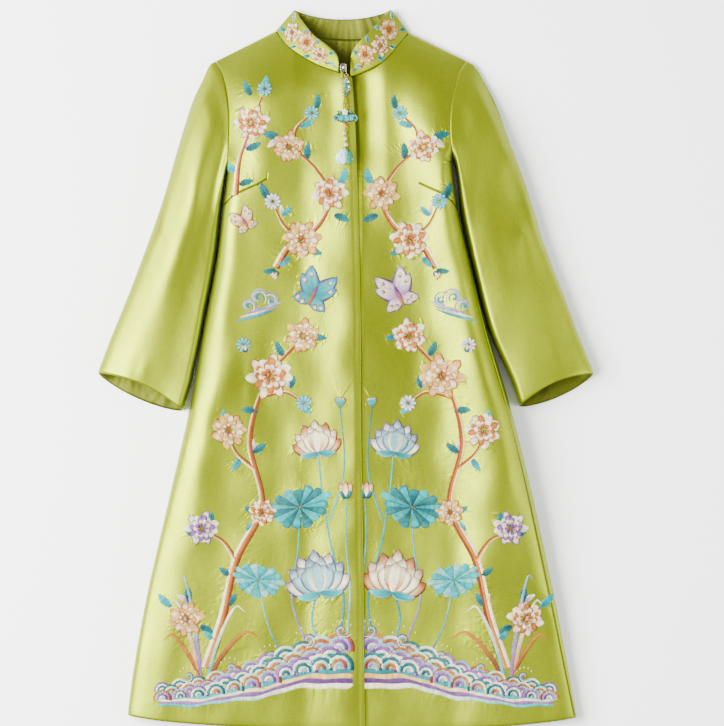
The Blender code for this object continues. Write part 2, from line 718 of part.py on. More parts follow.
def ring(name, at, radius, wire, turn, segments=14, sides=6):
    """A wire ring. turn is its rotation as (axis, degrees), and None leaves it flat."""

    def build(shaped):
        rows = []
        for i in range(segments):
            a = 2 * math.pi * i / segments
            row = []
            for j in range(sides):
                b = 2 * math.pi * (j + 0.5) / sides
                r = radius + wire * math.cos(b)
                corner = Vector((r * math.cos(a), r * math.sin(a), wire * math.sin(b)))
                row.append(shaped.verts.new(corner * MM))
            rows.append(row)
        for i in range(segments):
            for j in range(sides):
                near, far = rows[i], rows[(i + 1) % segments]
                k = (j + 1) % sides
                shaped.faces.new((near[j], far[j], far[k], near[k]))
        if turn:
            shaped.transform(Matrix.Rotation(math.radians(turn[1]), 4, turn[0]))
        shaped.transform(Matrix.Translation(Vector(at) * MM))
        bmesh.ops.recalc_face_normals(shaped, faces=shaped.faces)

    return solid(name, build)


def rod(name, start, end, radius, sides=6):
    """A straight round rod between two places."""
    a, b = Vector(start), Vector(end)

    def build(shaped):
        bmesh.ops.create_cone(
            shaped,
            cap_ends=True,
            segments=sides,
            radius1=radius * MM,
            radius2=radius * MM,
            depth=(b - a).length * MM,
        )
        turn = (b - a).to_track_quat("Z", "Y").to_matrix().to_4x4()
        shaped.transform(Matrix.Translation((a + b) * 0.5 * MM) @ turn)

    return solid(name, build)


def plate(name, outline, low, high):
    """A flat plate: an outline of (x, y) points between two heights."""

    def build(shaped):
        bottom = [shaped.verts.new(Vector((x, y, low)) * MM) for x, y in outline]
        top = [shaped.verts.new(Vector((x, y, high)) * MM) for x, y in outline]
        count = len(outline)
        shaped.faces.new(bottom[::-1])
        shaped.faces.new(top)
        for i in range(count):
            j = (i + 1) % count
            shaped.faces.new((bottom[i], bottom[j], top[j], top[i]))
        bmesh.ops.recalc_face_normals(shaped, faces=shaped.faces)

    return solid(name, build)


def unite(base, others):
    """Joins helper solids to base with exact unions. The helpers stay out of the render."""
    for other in others:
        joint = base.modifiers.new(other.name, "BOOLEAN")
        joint.operation = "UNION"
        joint.solver = "EXACT"
        joint.object = other
        other.hide_render = True
        other.display_type = "WIRE"
    return base


def place_pendant(objects, frame, hinge_y=0.0):
    """Gives pieces built in the pendant's frame an origin on their hinge, and puts them in the coat's."""
    hinge = Matrix.Translation(Vector((0.0, hinge_y, LINK_LEVEL)) * MM)
    for obj in objects:
        obj.data.transform(hinge.inverted())
        obj.matrix_world = frame @ hinge


# Stations down the pendant, measured from the top hinge along -y of its own frame
LINK_LEVEL = 1.9
LINK_RADIUS = 2.1
LINK_WIRE = 0.5
SPRIG_HINGE = -2 * JUMP_RING_RADIUS
SPRIG_LENGTH = 28.0
CHAIN_SPREAD = 4.2
MEDALLION_HINGE = -47.0
MEDALLION_WIDTH = 41.0
MEDALLION_DEPTH = 20.0
MEDALLION_TOP = MEDALLION_HINGE - 3.4
UPPER_BOW = 6.5
LOWER_BOW = 9.0
DROP_HINGE = -81.5
PEARL_PITCH = 9.0
PEARL_LIFT = 1.0
PEARL_STRING_LENGTH = 28.4
JADE_WIDTH = 30.0
JADE_LENGTH = 26.0
JADE_SECTIONS = (
    (0.0, 0.14, 2.2),
    (0.12, 0.42, 5.0),
    (0.36, 0.86, 7.0),
    (0.66, 1.0, 7.4),
    (0.88, 0.88, 5.4),
    (1.0, 0.66, 2.4),
)
SPRIG_BLOOMS = (
    (0.14, 1.4, 5.5, 7.0),
    (0.36, -2.4, 6.5, 6.5),
    (0.56, 2.4, 7.5, 7.0),
    (0.78, -1.6, 7.5, 7.5),
    (0.93, 2.6, 5.0, 6.0),
)


def make_button(name, frame):
    """The silver button at the top of the closing, with the loop that the pendant hangs from."""
    width, length, depth = BUTTON_SIZE
    cx, cy = BUTTON_CENTRE[0] - PENDANT_X, BUTTON_CENTRE[1] - PENDANT_TOP_Y
    corner = 2.2
    outline = []
    for sx, sy in ((1, -1), (1, 1), (-1, 1), (-1, -1)):
        px, py = cx + sx * width / 2, cy + sy * length / 2
        first, second = ((px - sx * corner, py), (px, py - sy * corner))
        outline += [first, second] if sx * sy < 0 else [second, first]
    base = plate(name, outline, -1.0, depth - 1.0)
    arm = rod("button_arm", (0.0, 3.6, LINK_LEVEL), (0.0, LOOP_RADIUS, LINK_LEVEL), 0.8, sides=7)
    loop = ring("button_loop", (0.0, 0.0, LINK_LEVEL), LOOP_RADIUS, WIRE, ("Y", 90))
    tab = [(-8.6, -6.0), (-3.6, -6.0), (-3.6, 3.4), (-8.6, 3.4)]
    cloth = max(top_height(x + PENDANT_X, min(y, -1.0) + PENDANT_TOP_Y) for x, y in tab)
    seat = cloth + SEAM_GAP - REST_HEIGHT
    tab = plate("button_tab", tab, seat, 1.3)
    place_pendant([base, arm, loop, tab], frame)
    return unite(base, [arm, loop, tab])


def make_jump_ring(name, frame):
    made = ring(name, (0.0, -JUMP_RING_RADIUS, LINK_LEVEL), JUMP_RING_RADIUS, WIRE, None, segments=16)
    place_pendant([made], frame)
    return made


def make_sprig(name, frame):
    """A spray of small blossoms on a stem, with a loop above and two fine chains below."""
    start = SPRIG_HINGE - LOOP_RADIUS + 0.2
    low = start - SPRIG_LENGTH
    stem = rod(name, (0.0, start, LINK_LEVEL), (0.0, low, LINK_LEVEL), 1.0, sides=8)
    pieces = [ring("sprig_loop", (0.0, SPRIG_HINGE, LINK_LEVEL), LOOP_RADIUS, WIRE, ("Y", 90))]
    for share, offset, width, length in SPRIG_BLOOMS:
        at = (offset, start - share * SPRIG_LENGTH, 2.0)
        pieces.append(ball(f"sprig_bloom_{len(pieces)}", at, (width, length, 3.6), rings=5))
    for side in (-1, 1):
        link = (side * CHAIN_SPREAD, MEDALLION_HINGE, LINK_LEVEL)
        start_at = (side * 1.4, low + 1.6, LINK_LEVEL)
        end_at = (side * CHAIN_SPREAD, MEDALLION_HINGE + LOOP_RADIUS, LINK_LEVEL)
        pieces.append(rod(f"sprig_chain_{side}", start_at, end_at, 0.62 + 0.04 * side, sides=7))
        pieces.append(ring(f"sprig_link_{side}", link, LOOP_RADIUS, WIRE, ("Y", 90)))
    place_pendant([stem, *pieces], frame, SPRIG_HINGE)
    return unite(stem, pieces)


def crescent(width, depth, top, count=11):
    """The outline of a crescent, deep in the middle, whose ends point down and outwards."""
    upper, lower = [], []
    for i in range(count):
        t = -1 + 2 * i / (count - 1)
        x = t * width / 2
        upper.append((x, top - UPPER_BOW * t * t))
        lower.append((x, top - depth + LOWER_BOW * t * t))
    return lower + upper[::-1]


def make_medallion(name, frame):
    """A crescent of turquoise scrolls with rings above, and two wires below that meet in a loop."""
    base = plate(name, crescent(MEDALLION_WIDTH - 9.0, MEDALLION_DEPTH, MEDALLION_TOP), 0.35, 3.2)
    pieces = []
    link_y = DROP_HINGE
    for side in (-1, 1):
        scroll = (side * (MEDALLION_WIDTH / 2 - 5.6), MEDALLION_TOP - 14.4, 1.9)
        pieces.append(ring(f"scroll_{side}", scroll, 4.0, 1.5, None, segments=14, sides=5))
        hang = (side * CHAIN_SPREAD, MEDALLION_HINGE - LINK_RADIUS, LINK_LEVEL)
        pieces.append(ring(f"medallion_ring_{side}", hang, LINK_RADIUS, LINK_WIRE, None, segments=12))
        low_end = (side * 0.5, link_y + LOOP_RADIUS, LINK_LEVEL)
        high_end = (side * 3.4, MEDALLION_TOP - MEDALLION_DEPTH + 2.4, LINK_LEVEL)
        pieces.append(rod(f"medallion_wire_{side}", high_end, low_end, 0.66 + 0.06 * side))
    pieces.append(ring("medallion_link", (0.0, link_y, LINK_LEVEL), LOOP_RADIUS, WIRE, ("Y", 90)))
    place_pendant([base, *pieces], frame, MEDALLION_HINGE)
    return unite(base, pieces)


def make_medallion_flower(name, frame):
    """The white blossom in the middle of the medallion: five petals round a centre."""
    centre = (0.0, MEDALLION_TOP - 7.2)
    base = ball(name, (*centre, 5.2), (4.2, 4.2, 2.8))
    petals = []
    for i in range(5):
        a = math.radians(90 + 72 * i)
        at = (centre[0] + 2.6 * math.cos(a), centre[1] + 2.6 * math.sin(a), 4.7)
        petals.append(ball(f"flower_petal_{i}", at, (4.0, 4.0, 2.0), rings=5))
    place_pendant([base, *petals], frame, MEDALLION_HINGE)
    return unite(base, petals)


def turned(name, start_y, level, sections, around=12):
    """A turned shape along -y: sections of (distance down, half width, half height, lift of the axis)."""

    def build(shaped):
        rows = []
        for down, half, tall, raised in sections:
            row = []
            for i in range(around):
                a = 2 * math.pi * i / around
                at = (half * math.cos(a), start_y - down, level + raised + tall * math.sin(a))
                row.append(shaped.verts.new(Vector(at) * MM))
            rows.append(row)
        for near, far in zip(rows, rows[1:]):
            for i in range(around):
                k = (i + 1) % around
                shaped.faces.new((near[i], near[k], far[k], far[i]))
        shaped.faces.new(rows[0][::-1])
        shaped.faces.new(rows[-1])
        bmesh.ops.recalc_face_normals(shaped, faces=shaped.faces)

    return solid(name, build)


def make_pearl_string(name, frame):
    """Three pearls with gold waists between them, under a ring that hangs in the medallion's loop."""
    start = DROP_HINGE - 2 * LINK_RADIUS + 0.3
    sections = [(0.0, 0.8, 0.8, 0.0), (1.6, 0.8, 0.8, 0.2)]
    for i in range(3):
        centre = 5.0 + PEARL_PITCH * i
        for angle in (-65, -35, 0, 35, 65):
            turn = math.radians(angle)
            size = PEARL_RADIUS * math.cos(turn)
            sections.append((centre + PEARL_RADIUS * math.sin(turn), size, size, PEARL_LIFT))
    sections.append((PEARL_STRING_LENGTH - 1.0, 2.4, 2.0, PEARL_LIFT))
    sections.append((PEARL_STRING_LENGTH, 1.6, 1.4, PEARL_LIFT))
    string = turned(name, start, LINK_LEVEL, sections)
    hang_at = (0.0, DROP_HINGE - LINK_RADIUS, LINK_LEVEL)
    hang = ring("pearl_ring", hang_at, LINK_RADIUS, LINK_WIRE, None, segments=12)
    place_pendant([string, hang], frame, DROP_HINGE)
    return unite(string, [hang])


def make_jade_blossom(name, frame):
    """A bell-shaped blossom of jade, wider below than above."""
    start = DROP_HINGE - 2 * LINK_RADIUS + 0.3 - PEARL_STRING_LENGTH - SEAM_GAP
    sections = [
        (down * JADE_LENGTH, half * JADE_WIDTH / 2, thick / 2, 3.0) for down, half, thick in JADE_SECTIONS
    ]
    made = turned(name, start, LINK_LEVEL, sections, around=20)
    place_pendant([made], frame, DROP_HINGE)
    return made


def main():
    for obj in list(bpy.data.objects):
        bpy.data.objects.remove(obj)
    dress(make_front("front_right", -1), "satin")
    dress(make_front("front_left", 1), "satin")
    dress(make_back("back"), "satin")
    dress(make_sleeve("sleeve_right", -1), "satin")
    dress(make_sleeve("sleeve_left", 1), "satin")
    dress(make_collar("collar"), "satin")
    dress(make_back_neck_facing("back_neck_facing"), "satin")
    frame = pendant_frame()
    dress(make_button("button", frame), "silver")
    dress(make_jump_ring("jump_ring", frame), "gold")
    dress(make_sprig("sprig", frame), "turquoise")
    dress(make_medallion("medallion", frame), "turquoise")
    dress(make_medallion_flower("medallion_flower", frame), "white")
    dress(make_pearl_string("pearl_string", frame), "pearl")
    dress(make_jade_blossom("jade_blossom", frame), "jade")


main()
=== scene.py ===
# %% [markdown]
# # A knee-length satin coat, laid flat
#
# The coat has a stand collar, wide sleeves, embroidered fronts and a jewelled pendant.
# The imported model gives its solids: plain cloth walls in the right place. This lesson dresses them.
# Each cloth wall gets a finer skin from the same sections, then come satin, seams, embroidery and jewels.

# %% Load the frame
import math
import bmesh
import bpy
import numpy as np
from mathutils import Matrix, Vector
from mathutils.kdtree import KDTree
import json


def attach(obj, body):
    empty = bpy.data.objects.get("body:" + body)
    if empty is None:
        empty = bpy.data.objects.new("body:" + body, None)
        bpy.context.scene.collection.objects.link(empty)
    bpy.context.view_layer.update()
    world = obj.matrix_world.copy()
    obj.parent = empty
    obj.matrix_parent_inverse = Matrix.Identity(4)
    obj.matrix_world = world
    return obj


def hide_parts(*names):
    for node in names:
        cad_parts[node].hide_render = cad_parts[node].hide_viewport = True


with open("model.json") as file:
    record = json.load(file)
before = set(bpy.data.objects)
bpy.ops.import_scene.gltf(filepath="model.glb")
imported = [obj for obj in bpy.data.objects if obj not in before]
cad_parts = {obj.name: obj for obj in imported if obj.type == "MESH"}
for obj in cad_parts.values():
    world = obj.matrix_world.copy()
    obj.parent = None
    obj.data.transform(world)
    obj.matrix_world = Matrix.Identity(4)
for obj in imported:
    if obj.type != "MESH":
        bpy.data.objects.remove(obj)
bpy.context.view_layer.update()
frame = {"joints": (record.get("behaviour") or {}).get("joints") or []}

MM = 0.001

# %% [markdown]
# ## The view
#
# The photograph looks straight down on a coat that lies on its back. One pixel is 1.55 mm of coat.
# A long lens from high up keeps the outline as flat as it is there. A wide lens from close by could
# do it too, but it would swell the raised chest against the hem.

# %% Camera, table and light
PIXEL = 1.55
IMAGE = (724, 726)
ON_PHOTO = (346, 371)  # where the coat's middle is on the photograph, in pixels
VIEW_CENTRE = ((IMAGE[0] / 2 - ON_PHOTO[0]) * PIXEL * MM, (ON_PHOTO[1] - IMAGE[1] / 2 - 1.5) * PIXEL * MM)
VIEW_HEIGHT = 8

camera_data = bpy.data.cameras.new("camera")
camera_data.sensor_width = 36
camera_data.lens = 36 * VIEW_HEIGHT / (IMAGE[1] * PIXEL * MM)
camera_data.clip_end = 60


def show(name, data):
    """An object for a mesh, light or camera, put in the scene."""
    made = bpy.data.objects.new(name, data)
    bpy.context.collection.objects.link(made)
    return made


camera = show("camera", camera_data)
camera.location = (*VIEW_CENTRE, VIEW_HEIGHT + 0.03)
bpy.context.scene.camera = camera


def area_light(name, at, size, power, colour=(1, 1, 1)):
    """A rectangle of light that faces the middle of the coat."""
    data = bpy.data.lights.new(name, "AREA")
    data.shape = "RECTANGLE"
    data.size, data.size_y = size
    data.energy = power
    data.color = colour
    light = show(name, data)
    light.location = at
    light.rotation_euler = (-Vector(at)).to_track_quat("-Z", "Y").to_euler()


area_light("window_left", (-2.2, 0.2, 2.3), (2.2, 2.6), 640, (1, 0.99, 0.97))
area_light("fill_right", (2.6, -0.4, 1.6), (1.6, 2), 95)
world = bpy.data.worlds.new("room")
world.use_nodes = True
sky = world.node_tree.nodes["Background"].inputs
sky["Color"].default_value = (1, 1, 1, 1)
sky["Strength"].default_value = 0.8
bpy.context.scene.world = world

table_mesh = bpy.data.meshes.new("table")
table_corners = [(6 * x, 6 * y, -0.0006) for x, y in ((-1, -1), (1, -1), (1, 1), (-1, 1))]
table_mesh.from_pydata(table_corners, [], [(0, 1, 2, 3)])
table = show("table", table_mesh)
table_look = bpy.data.materials.new("white_table")
table_look.use_nodes = True
table_finish = table_look.node_tree.nodes["Principled BSDF"].inputs
table_finish["Base Color"].default_value = (0.96, 0.96, 0.96, 1)
table_finish["Roughness"].default_value = 0.75
table_mesh.materials.append(table_look)
print("lens", round(camera_data.lens, 1), "mm at", VIEW_HEIGHT, "m")

# %% [markdown]
# ## The cut of the coat
#
# A coat like this is cut from paper patterns, and it lies in a shape that its tables give: sections of
# the body by level, outlines of the armholes, the necklines and the sleeves. They are the sizes that
# the solids have, in millimetres, so the finer skins fall in the same place.

# %% Tables of the cut
CLOTH = 1.8
COLLAR_CLOTH = 2.4
SEAM_GAP = 0.3
UNDERLAP = 25
SHOULDER_SEAM_HEIGHT = 9
BACK_SHOULDER_LIFT = SHOULDER_SEAM_HEIGHT - 2 * CLOTH - SEAM_GAP

# level, left edge, right edge, crown, roll, edge height, left seam angle, right seam angle
BODY = np.array((
    (-560, -342.5, 361.5, 25, 22, 11, -18, 16),
    (-470, -330.5, 345.5, 31, 25, 13, -24, 33),
    (-350, -308.8, 322.5, 37, 28, 16, -25, 37),
    (-176, -269, 284.8, 45, 32, 19, -25, 37),
    (-50, -240.4, 252.3, 50, 34, 21, -25, 35),
    (75, -217.8, 214.4, 55, 33, 23, -22, 28),
    (172, -199.3, 190, 59, 30, 25, -16, 10),
    (250, -190.3, 172.6, 61, 26, 26, -6, 0),
    (306, -183.9, 165.4, 61, 20, 26, 0, 0),
    (400, -181.5, 162, 57, 0.5, 24, 90, 90),
    (480, -200, 185, 53, 0.5, 18, 90, 90),
    (560, -200, 185, 50, 0.5, 18, 90, 90),
))
LEFT, RIGHT, CROWN, ROLL, EDGE, LEFT_SEAM, RIGHT_SEAM = range(1, 8)

# crest at the top, in the middle and low down, height, reach to the left and to the right
FOLDS = (
    ((12, 452), (16, 80), (20, -556), 9, 90, 85),
    ((150, 355), (218, -60), (232, -556), 11.5, 72, 75),
    ((-150, 330), (-205, -60), (-285, -556), 4, 45, 90),
)

LEFT_ARMHOLE = ((-201.8, 479.1), (-192.8, 461.3), (-184.9, 431.7), (-181, 392.2), (-182, 342.7),
                (-183.9, 306))
RIGHT_ARMHOLE = ((186.5, 479.1), (177.6, 465.3), (169.7, 443.5), (162.8, 411.9), (160.9, 368.5),
                 (165.4, 322))
LEFT_NECK_POINT = (-110, 525.3)
RIGHT_NECK_POINT = (98.4, 522.4)
LEFT_NECKLINE = ((-11.2, 458.5), (-43.9, 470.5), (-67.6, 483.8), (-91.5, 501.6), LEFT_NECK_POINT)
RIGHT_NECKLINE = ((6.7, 451.5), (39.2, 464.6), (62.9, 480.8), (83.7, 506.1), RIGHT_NECK_POINT)
FRONT_EDGE = ((29.1, -556), (26.7, -295.3), (23.4, -78.3), (22.6, 80.2), (19.4, 231.8), (15, 368.5),
              (9.6, 452))
LEFT_SLEEVE_OUTER = (
    (-201.8, 479.1), (-210.6, 474.2), (-222.6, 449.5), (-236.4, 419.8), (-250.2, 378.2), (-266, 324.9),
    (-281.8, 269.6), (-299.9, 216.3), (-331.5, 131.3), (-367.2, 42.3), (-384.9, -4.2),
)
LEFT_SLEEVE_INNER = (
    (-183.9, 306), (-187.2, 293.3), (-193.6, 253.8), (-200.5, 216.3), (-209.6, 166.8), (-222, 97.7),
    (-232.5, 28.4), (-240, -20), (-252, -62.8),
)
RIGHT_SLEEVE_OUTER = (
    (186.5, 479.1), (197.5, 473.2), (217.2, 441.6), (237, 400.1), (252.7, 354.5), (266.6, 319),
    (288.3, 255.8), (304.1, 202.3), (320.9, 157), (337.4, 115.5), (358.2, 59.4), (384.2, -4.9),
)
RIGHT_SLEEVE_INNER = (
    (165.4, 322), (171.9, 307.1), (178.6, 277.5), (186.2, 230.2), (191.4, 202.3), (197, 175.6),
    (217, 103.1), (237, 40.8), (256.5, -17.3), (268, -56),
)
LEFT_COLLAR_TOP = ((-11, 474), (-14.1, 486.7), (-29, 501.6), (-49.8, 517.9), (-67.6, 540.2), (-80.3, 558.5))
RIGHT_COLLAR_TOP = ((7.3, 474), (8.1, 486.7), (15.5, 501.6), (33.3, 519.4), (51.2, 540.2), (70.4, 558.5))
ARMHOLES = {-1: LEFT_ARMHOLE, 1: RIGHT_ARMHOLE}
NECKLINES = {-1: LEFT_NECKLINE, 1: RIGHT_NECKLINE}
SLEEVES = {-1: (LEFT_SLEEVE_OUTER, LEFT_SLEEVE_INNER), 1: (RIGHT_SLEEVE_OUTER, RIGHT_SLEEVE_INNER)}
print("body sections:", len(BODY))

# %% [markdown]
# ## Smooth curves through the tables
#
# A pattern cutter joins measured points with a flexible curve. A cubic Hermite curve does the same
# with numbers: it passes through each point and leaves it in the direction of its neighbours.
# NumPy works it out for thousands of points at once, which keeps the fine skins quick to make.

# %% Curves
def mix(a, b, t):
    return a + (b - a) * t


def joined(*columns):
    """One array of points from its coordinates."""
    return np.stack(np.broadcast_arrays(*columns), axis=-1)


def ray(angle):
    return np.array((math.cos(angle), math.sin(angle)))


def circle(count):
    return np.linspace(0, 2 * math.pi, count, endpoint=False)


def smooth(t):
    t = np.clip(t, 0, 1)
    return t * t * (3 - 2 * t)


def hermite(values, positions, at):
    values, positions, at = np.asarray(values, float), np.asarray(positions, float), np.asarray(at, float)
    slopes = np.gradient(values)
    spans = np.gradient(positions)
    slopes = slopes / spans
    i = np.clip(np.searchsorted(positions, at) - 1, 0, len(positions) - 2)
    step = positions[i + 1] - positions[i]
    raw = (at - positions[i]) / step
    t = np.clip(raw, 0, 1)
    curve = (
        values[i] * (2 * t**3 - 3 * t**2 + 1)
        + values[i + 1] * (3 * t**2 - 2 * t**3)
        + slopes[i] * step * (t**3 - 2 * t**2 + t)
        + slopes[i + 1] * step * (t**3 - t**2)
    )
    beyond = np.where(raw < 0, slopes[i] * (at - positions[i]), 0)
    return curve + np.where(raw > 1, slopes[i + 1] * (at - positions[i + 1]), beyond)


def body(column, y):
    return hermite(BODY[:, column], BODY[:, 0], y)


def along(points, t):
    points = np.asarray(points, float)
    lengths = np.concatenate(([0], np.cumsum(np.hypot(*np.diff(points, axis=0).T))))
    at = np.asarray(t, float) * lengths[-1]
    return hermite(points[:, 0], lengths, at), hermite(points[:, 1], lengths, at)


def line_length(points):
    points = np.asarray(points, float)
    return float(np.hypot(*np.diff(points, axis=0).T).sum())


def to_line(x, y, points):
    """Distance in plan from each (x, y) to a line of points."""
    best = np.full(np.broadcast(x, y).shape, np.inf)
    for (ax, ay), (bx, by) in zip(points, points[1:]):
        run = (bx - ax, by - ay)
        t = np.clip(((x - ax) * run[0] + (y - ay) * run[1]) / (run[0] ** 2 + run[1] ** 2), 0, 1)
        best = np.minimum(best, np.hypot(x - ax - run[0] * t, y - ay - run[1] * t))
    return best


print("crown at the bust:", round(float(body(CROWN, 300)), 1), "mm")

# %% [markdown]
# ## The height of the cloth
#
# Seen from above, the whole front of the coat is a landscape: a height for each place on the table.
# One function gives it, with the soft folds that the satin lies in. The skins use it, and so does
# the embroidery, which can then lie exactly on its cloth.

# %% Heights
FRONT_RISE, BACK_RISE, NECK_LEVEL = 110, 25, 540
ARMHOLE_DIP, FINE_DIP, ARMHOLE_DIP_WIDTH, ARMHOLE_TURN, ARMHOLE_ROLL = 0.26, 0.14, 45, 42, 9
LAP_FADE, FOLD_FADE_TOP, BACK_NECK_DROP = 70, 70, 12
HEM_CENTRE, HEM_BOW, HEM_CORNER, HEM_MIDDLE_X, HEM_HALF_WIDTH = -558.4, 12, 8, 8, 349

# Soft creases: a line of points, the height of the ridge (or depth of the trough), and its half width
CREASES = (
    (((-142, 440), (-138, 350), (-142, 270)), 3.5, 36),
    (((-98, 450), (-98, 370), (-98, 300)), 6, 56),
    (((-184, 250), (-180, 120), (-180, -20)), 4.2, 30),
    (((-70, 330), (-80, 200), (-95, 60)), -2.2, 34),
    (((-118, 60), (-115, -100), (-120, -240)), -2.6, 30),
    (((-198, -20), (-218, -94), (-252, -264), (-274, -357), (-312, -556)), 3.6, 30),
    (((-160, -260), (-190, -400), (-215, -556)), 1.6, 34),
    (((24, 462), (26, 400), (34, 330)), -11, 54),
    (((152, 440), (150, 360), (146, 290)), 4.5, 42),
    (((150, 250), (182, 80), (226, -80), (244, -220)), 3.6, 36),
    (((64, 260), (84, 120), (112, -20), (136, -110), (165, -240)), -4.2, 34),
    (((228, -360), (232, -450), (232, -556)), -6, 52),
    (((300, -420), (312, -490), (322, -556)), 1.6, 20),
    (((262, -60), (284, -200), (300, -360)), 4, 38),
)
# Shallow waves that cross each other, as a piece of silk has when it is laid down: length, direction, phase
WAVES = tuple(
    (length, math.radians(direction), phase)
    for length, direction, phase in (
        (96, 8, 0.4), (71, -17, 2.1), (123, 62, 4), (58, 33, 1.2), (83, -48, 5.3), (47, -4, 3.3),
    )
)
WAVE_STEEPNESS, CREASE_REACH, CREASE_FADE, HEM_LEVEL = 0.024, 60, 90, -550


def shoulder_line(x):
    sides = []
    for (ax, ay), (bx, by) in ((LEFT_ARMHOLE[0], LEFT_NECK_POINT), (RIGHT_ARMHOLE[0], RIGHT_NECK_POINT)):
        sides.append(mix(ay, by, (x - ax) / (bx - ax)))
    return np.minimum(NECK_LEVEL, np.where(x < 0, *sides))


def line_x(points, y):
    """Where a line of points that runs upwards is at each level."""
    xs, ys = zip(*points)
    return hermite(xs, ys, y)


def front_edge_x(y):
    return line_x(FRONT_EDGE, y)


def armhole_x(side, y):
    return line_x(ARMHOLES[side][::-1], y)


def side_x(side, y):
    return body(LEFT if side < 0 else RIGHT, y)


def hem_line(x):
    share = np.abs(x - HEM_MIDDLE_X) / HEM_HALF_WIDTH
    return HEM_CENTRE + HEM_BOW * share**2 + HEM_CORNER * share**6


def fold_height(x, y):
    total = np.zeros(np.broadcast(x, y).shape)
    for top, middle, low, height, reach_left, reach_right in FOLDS:
        crest = line_x((low, middle, top), y)
        share = np.abs(x - crest) / np.where(x < crest, reach_left, reach_right)
        fade = smooth((top[1] + FOLD_FADE_TOP - y) / FOLD_FADE_TOP)
        swell = np.cos(np.minimum(share, 1) * math.pi / 2) ** 2
        total = total + np.where(share < 1, height * fade * swell, 0)
    return total


def crease_height(x, y):
    total = np.zeros(np.broadcast(x, y).shape)
    for points, height, width in CREASES:
        high, low = points[0][1], points[-1][1]
        ends = smooth((high + CREASE_REACH - y) / CREASE_FADE)
        if low > HEM_LEVEL:
            ends = smooth((y - low + CREASE_REACH) / CREASE_FADE) * ends
        total = total + height * ends * np.exp(-(((x - line_x(points[::-1], y)) / width) ** 2))
    under_pendant = np.exp(-((x / 26) ** 2)) * smooth((y - 280) / 40)
    return (total + soft_waves(x, y)) * (1 - under_pendant)


def soft_waves(x, y):
    total = 0
    for length, direction, phase in WAVES:
        along_it = x * math.cos(direction) + y * math.sin(direction)
        angle = 2 * math.pi * along_it / length + phase + 0.9 * np.sin(y / 97 + phase)
        total = total + length * np.sin(angle)
    return total * WAVE_STEEPNESS / (2 * math.pi)


def top_height(x, y, fine=True):
    """The height of the coat's upper surface, before its sides roll under."""
    crown = body(CROWN, y) + fold_height(x, y)
    if fine:
        crown = crown + crease_height(x, y)
    inset = np.minimum(x - armhole_x(-1, y), armhole_x(1, y) - x)
    above_arm = smooth((y - 285) / 70)
    dip = mix(ARMHOLE_DIP, FINE_DIP, smooth(x / 80)) if fine else ARMHOLE_DIP
    dip = dip * above_arm * np.maximum(0, 1 - np.maximum(0, inset) / ARMHOLE_DIP_WIDTH) ** 2
    below = np.maximum(0, shoulder_line(x) - y) / FRONT_RISE
    rise = 1 - np.maximum(0, 1 - below) ** 2
    return SHOULDER_SEAM_HEIGHT + (crown * (1 - dip) - SHOULDER_SEAM_HEIGHT) * rise


# The right front's edge is folded under: the cloth bends down to it over a narrow band, and turns up a
# little at the fold
BAND_WIDTH, BAND_FALL, FOLD_LIP = 11.5, 2, 0.2


def lap_drop(x, y):
    """How far the left front lies below the right one. It dips beside the edge and then comes up slowly."""
    high = smooth((y - 150) / 150)
    beyond = np.maximum(0, x - front_edge_x(y))
    dip = mix(0.8, 3.6, high) * smooth(beyond / mix(5, 8, high))
    return ((CLOTH + BAND_FALL + mix(0.4, 4, high) + dip)
            * (1 - smooth((beyond - 5) / mix(LAP_FADE, 46, high))))


def lap_shade(x, y):
    """How deep the left front lies in the shade of the right one's edge: 1 in the crease, 0 beyond it."""
    high = smooth((y - 270) / 70)
    beyond = x - front_edge_x(y)
    return mix(0.55, 0.9, high) * (1 - smooth((beyond - mix(0, 2.5, high)) / mix(3, 9.5, high)))


def band_fall(x, y):
    inside = np.maximum(0, front_edge_x(y) - x)
    return BAND_FALL * (1 - smooth(inside / BAND_WIDTH)) - FOLD_LIP * np.exp(-((inside / 1.5) ** 2))


def back_top_line(x):
    (left_x, left_y), (right_x, right_y) = LEFT_NECK_POINT, RIGHT_NECK_POINT
    t = np.clip((x - left_x) / (right_x - left_x), 0, 1)
    middle = mix(left_y, right_y, t) - BACK_NECK_DROP * np.sin(math.pi * t)
    shoulders = [shoulder_line(limit(x, end)) for limit,
                 end in ((np.minimum, left_x), (np.maximum, right_x))]
    return np.where(x <= left_x, shoulders[0], np.where(x >= right_x, shoulders[1], middle))


def back_height(x, y):
    below = np.maximum(0, shoulder_line(x) - y) / BACK_RISE
    across = smooth((LEFT_NECK_POINT[0] + 30 - x) / 30) + smooth((x - RIGHT_NECK_POINT[0] + 30) / 30)
    return BACK_SHOULDER_LIFT * np.maximum(0, 1 - below) ** 2 * np.minimum(1, across)


def side_rise(lift):
    """How far the cloth has risen (or sunk) from the middle of its side, at a sine of the angle round it."""
    return np.sign(lift) * np.abs(lift) ** 0.5


def front_height(side, x, y):
    """The top of a front away from its rolled side: -1 is the right front, which lies on top."""
    if side > 0:
        return top_height(x, y) - lap_drop(x, y)
    return top_height(x, y) - band_fall(x, y)


print("front at the middle:", round(float(front_height(-1, 0, 0)), 1), "mm")

# %% [markdown]
# ## Walls of cloth
#
# Cloth is modelled as a thin closed wall: an outer skin, an inner skin and rounded edges between them.
# A Solidify modifier could give a wall its thickness, but here the side seams, armholes and cuffs have
# to meet their neighbours exactly, so both skins come from the same section, point for point.

# %% Wall builder
CUTS = {}


def skin_offset(x, y, z, lift, inward, thickness, upper):
    """The inner point behind each outer point. lift is the sine of the angle round the side roll."""
    level = np.sqrt(np.maximum(0, 1 - lift * lift)) * thickness
    drop = np.where(upper, -lift * thickness, lift * thickness)
    return x + inward[0] * level, y + inward[1] * level, z + drop


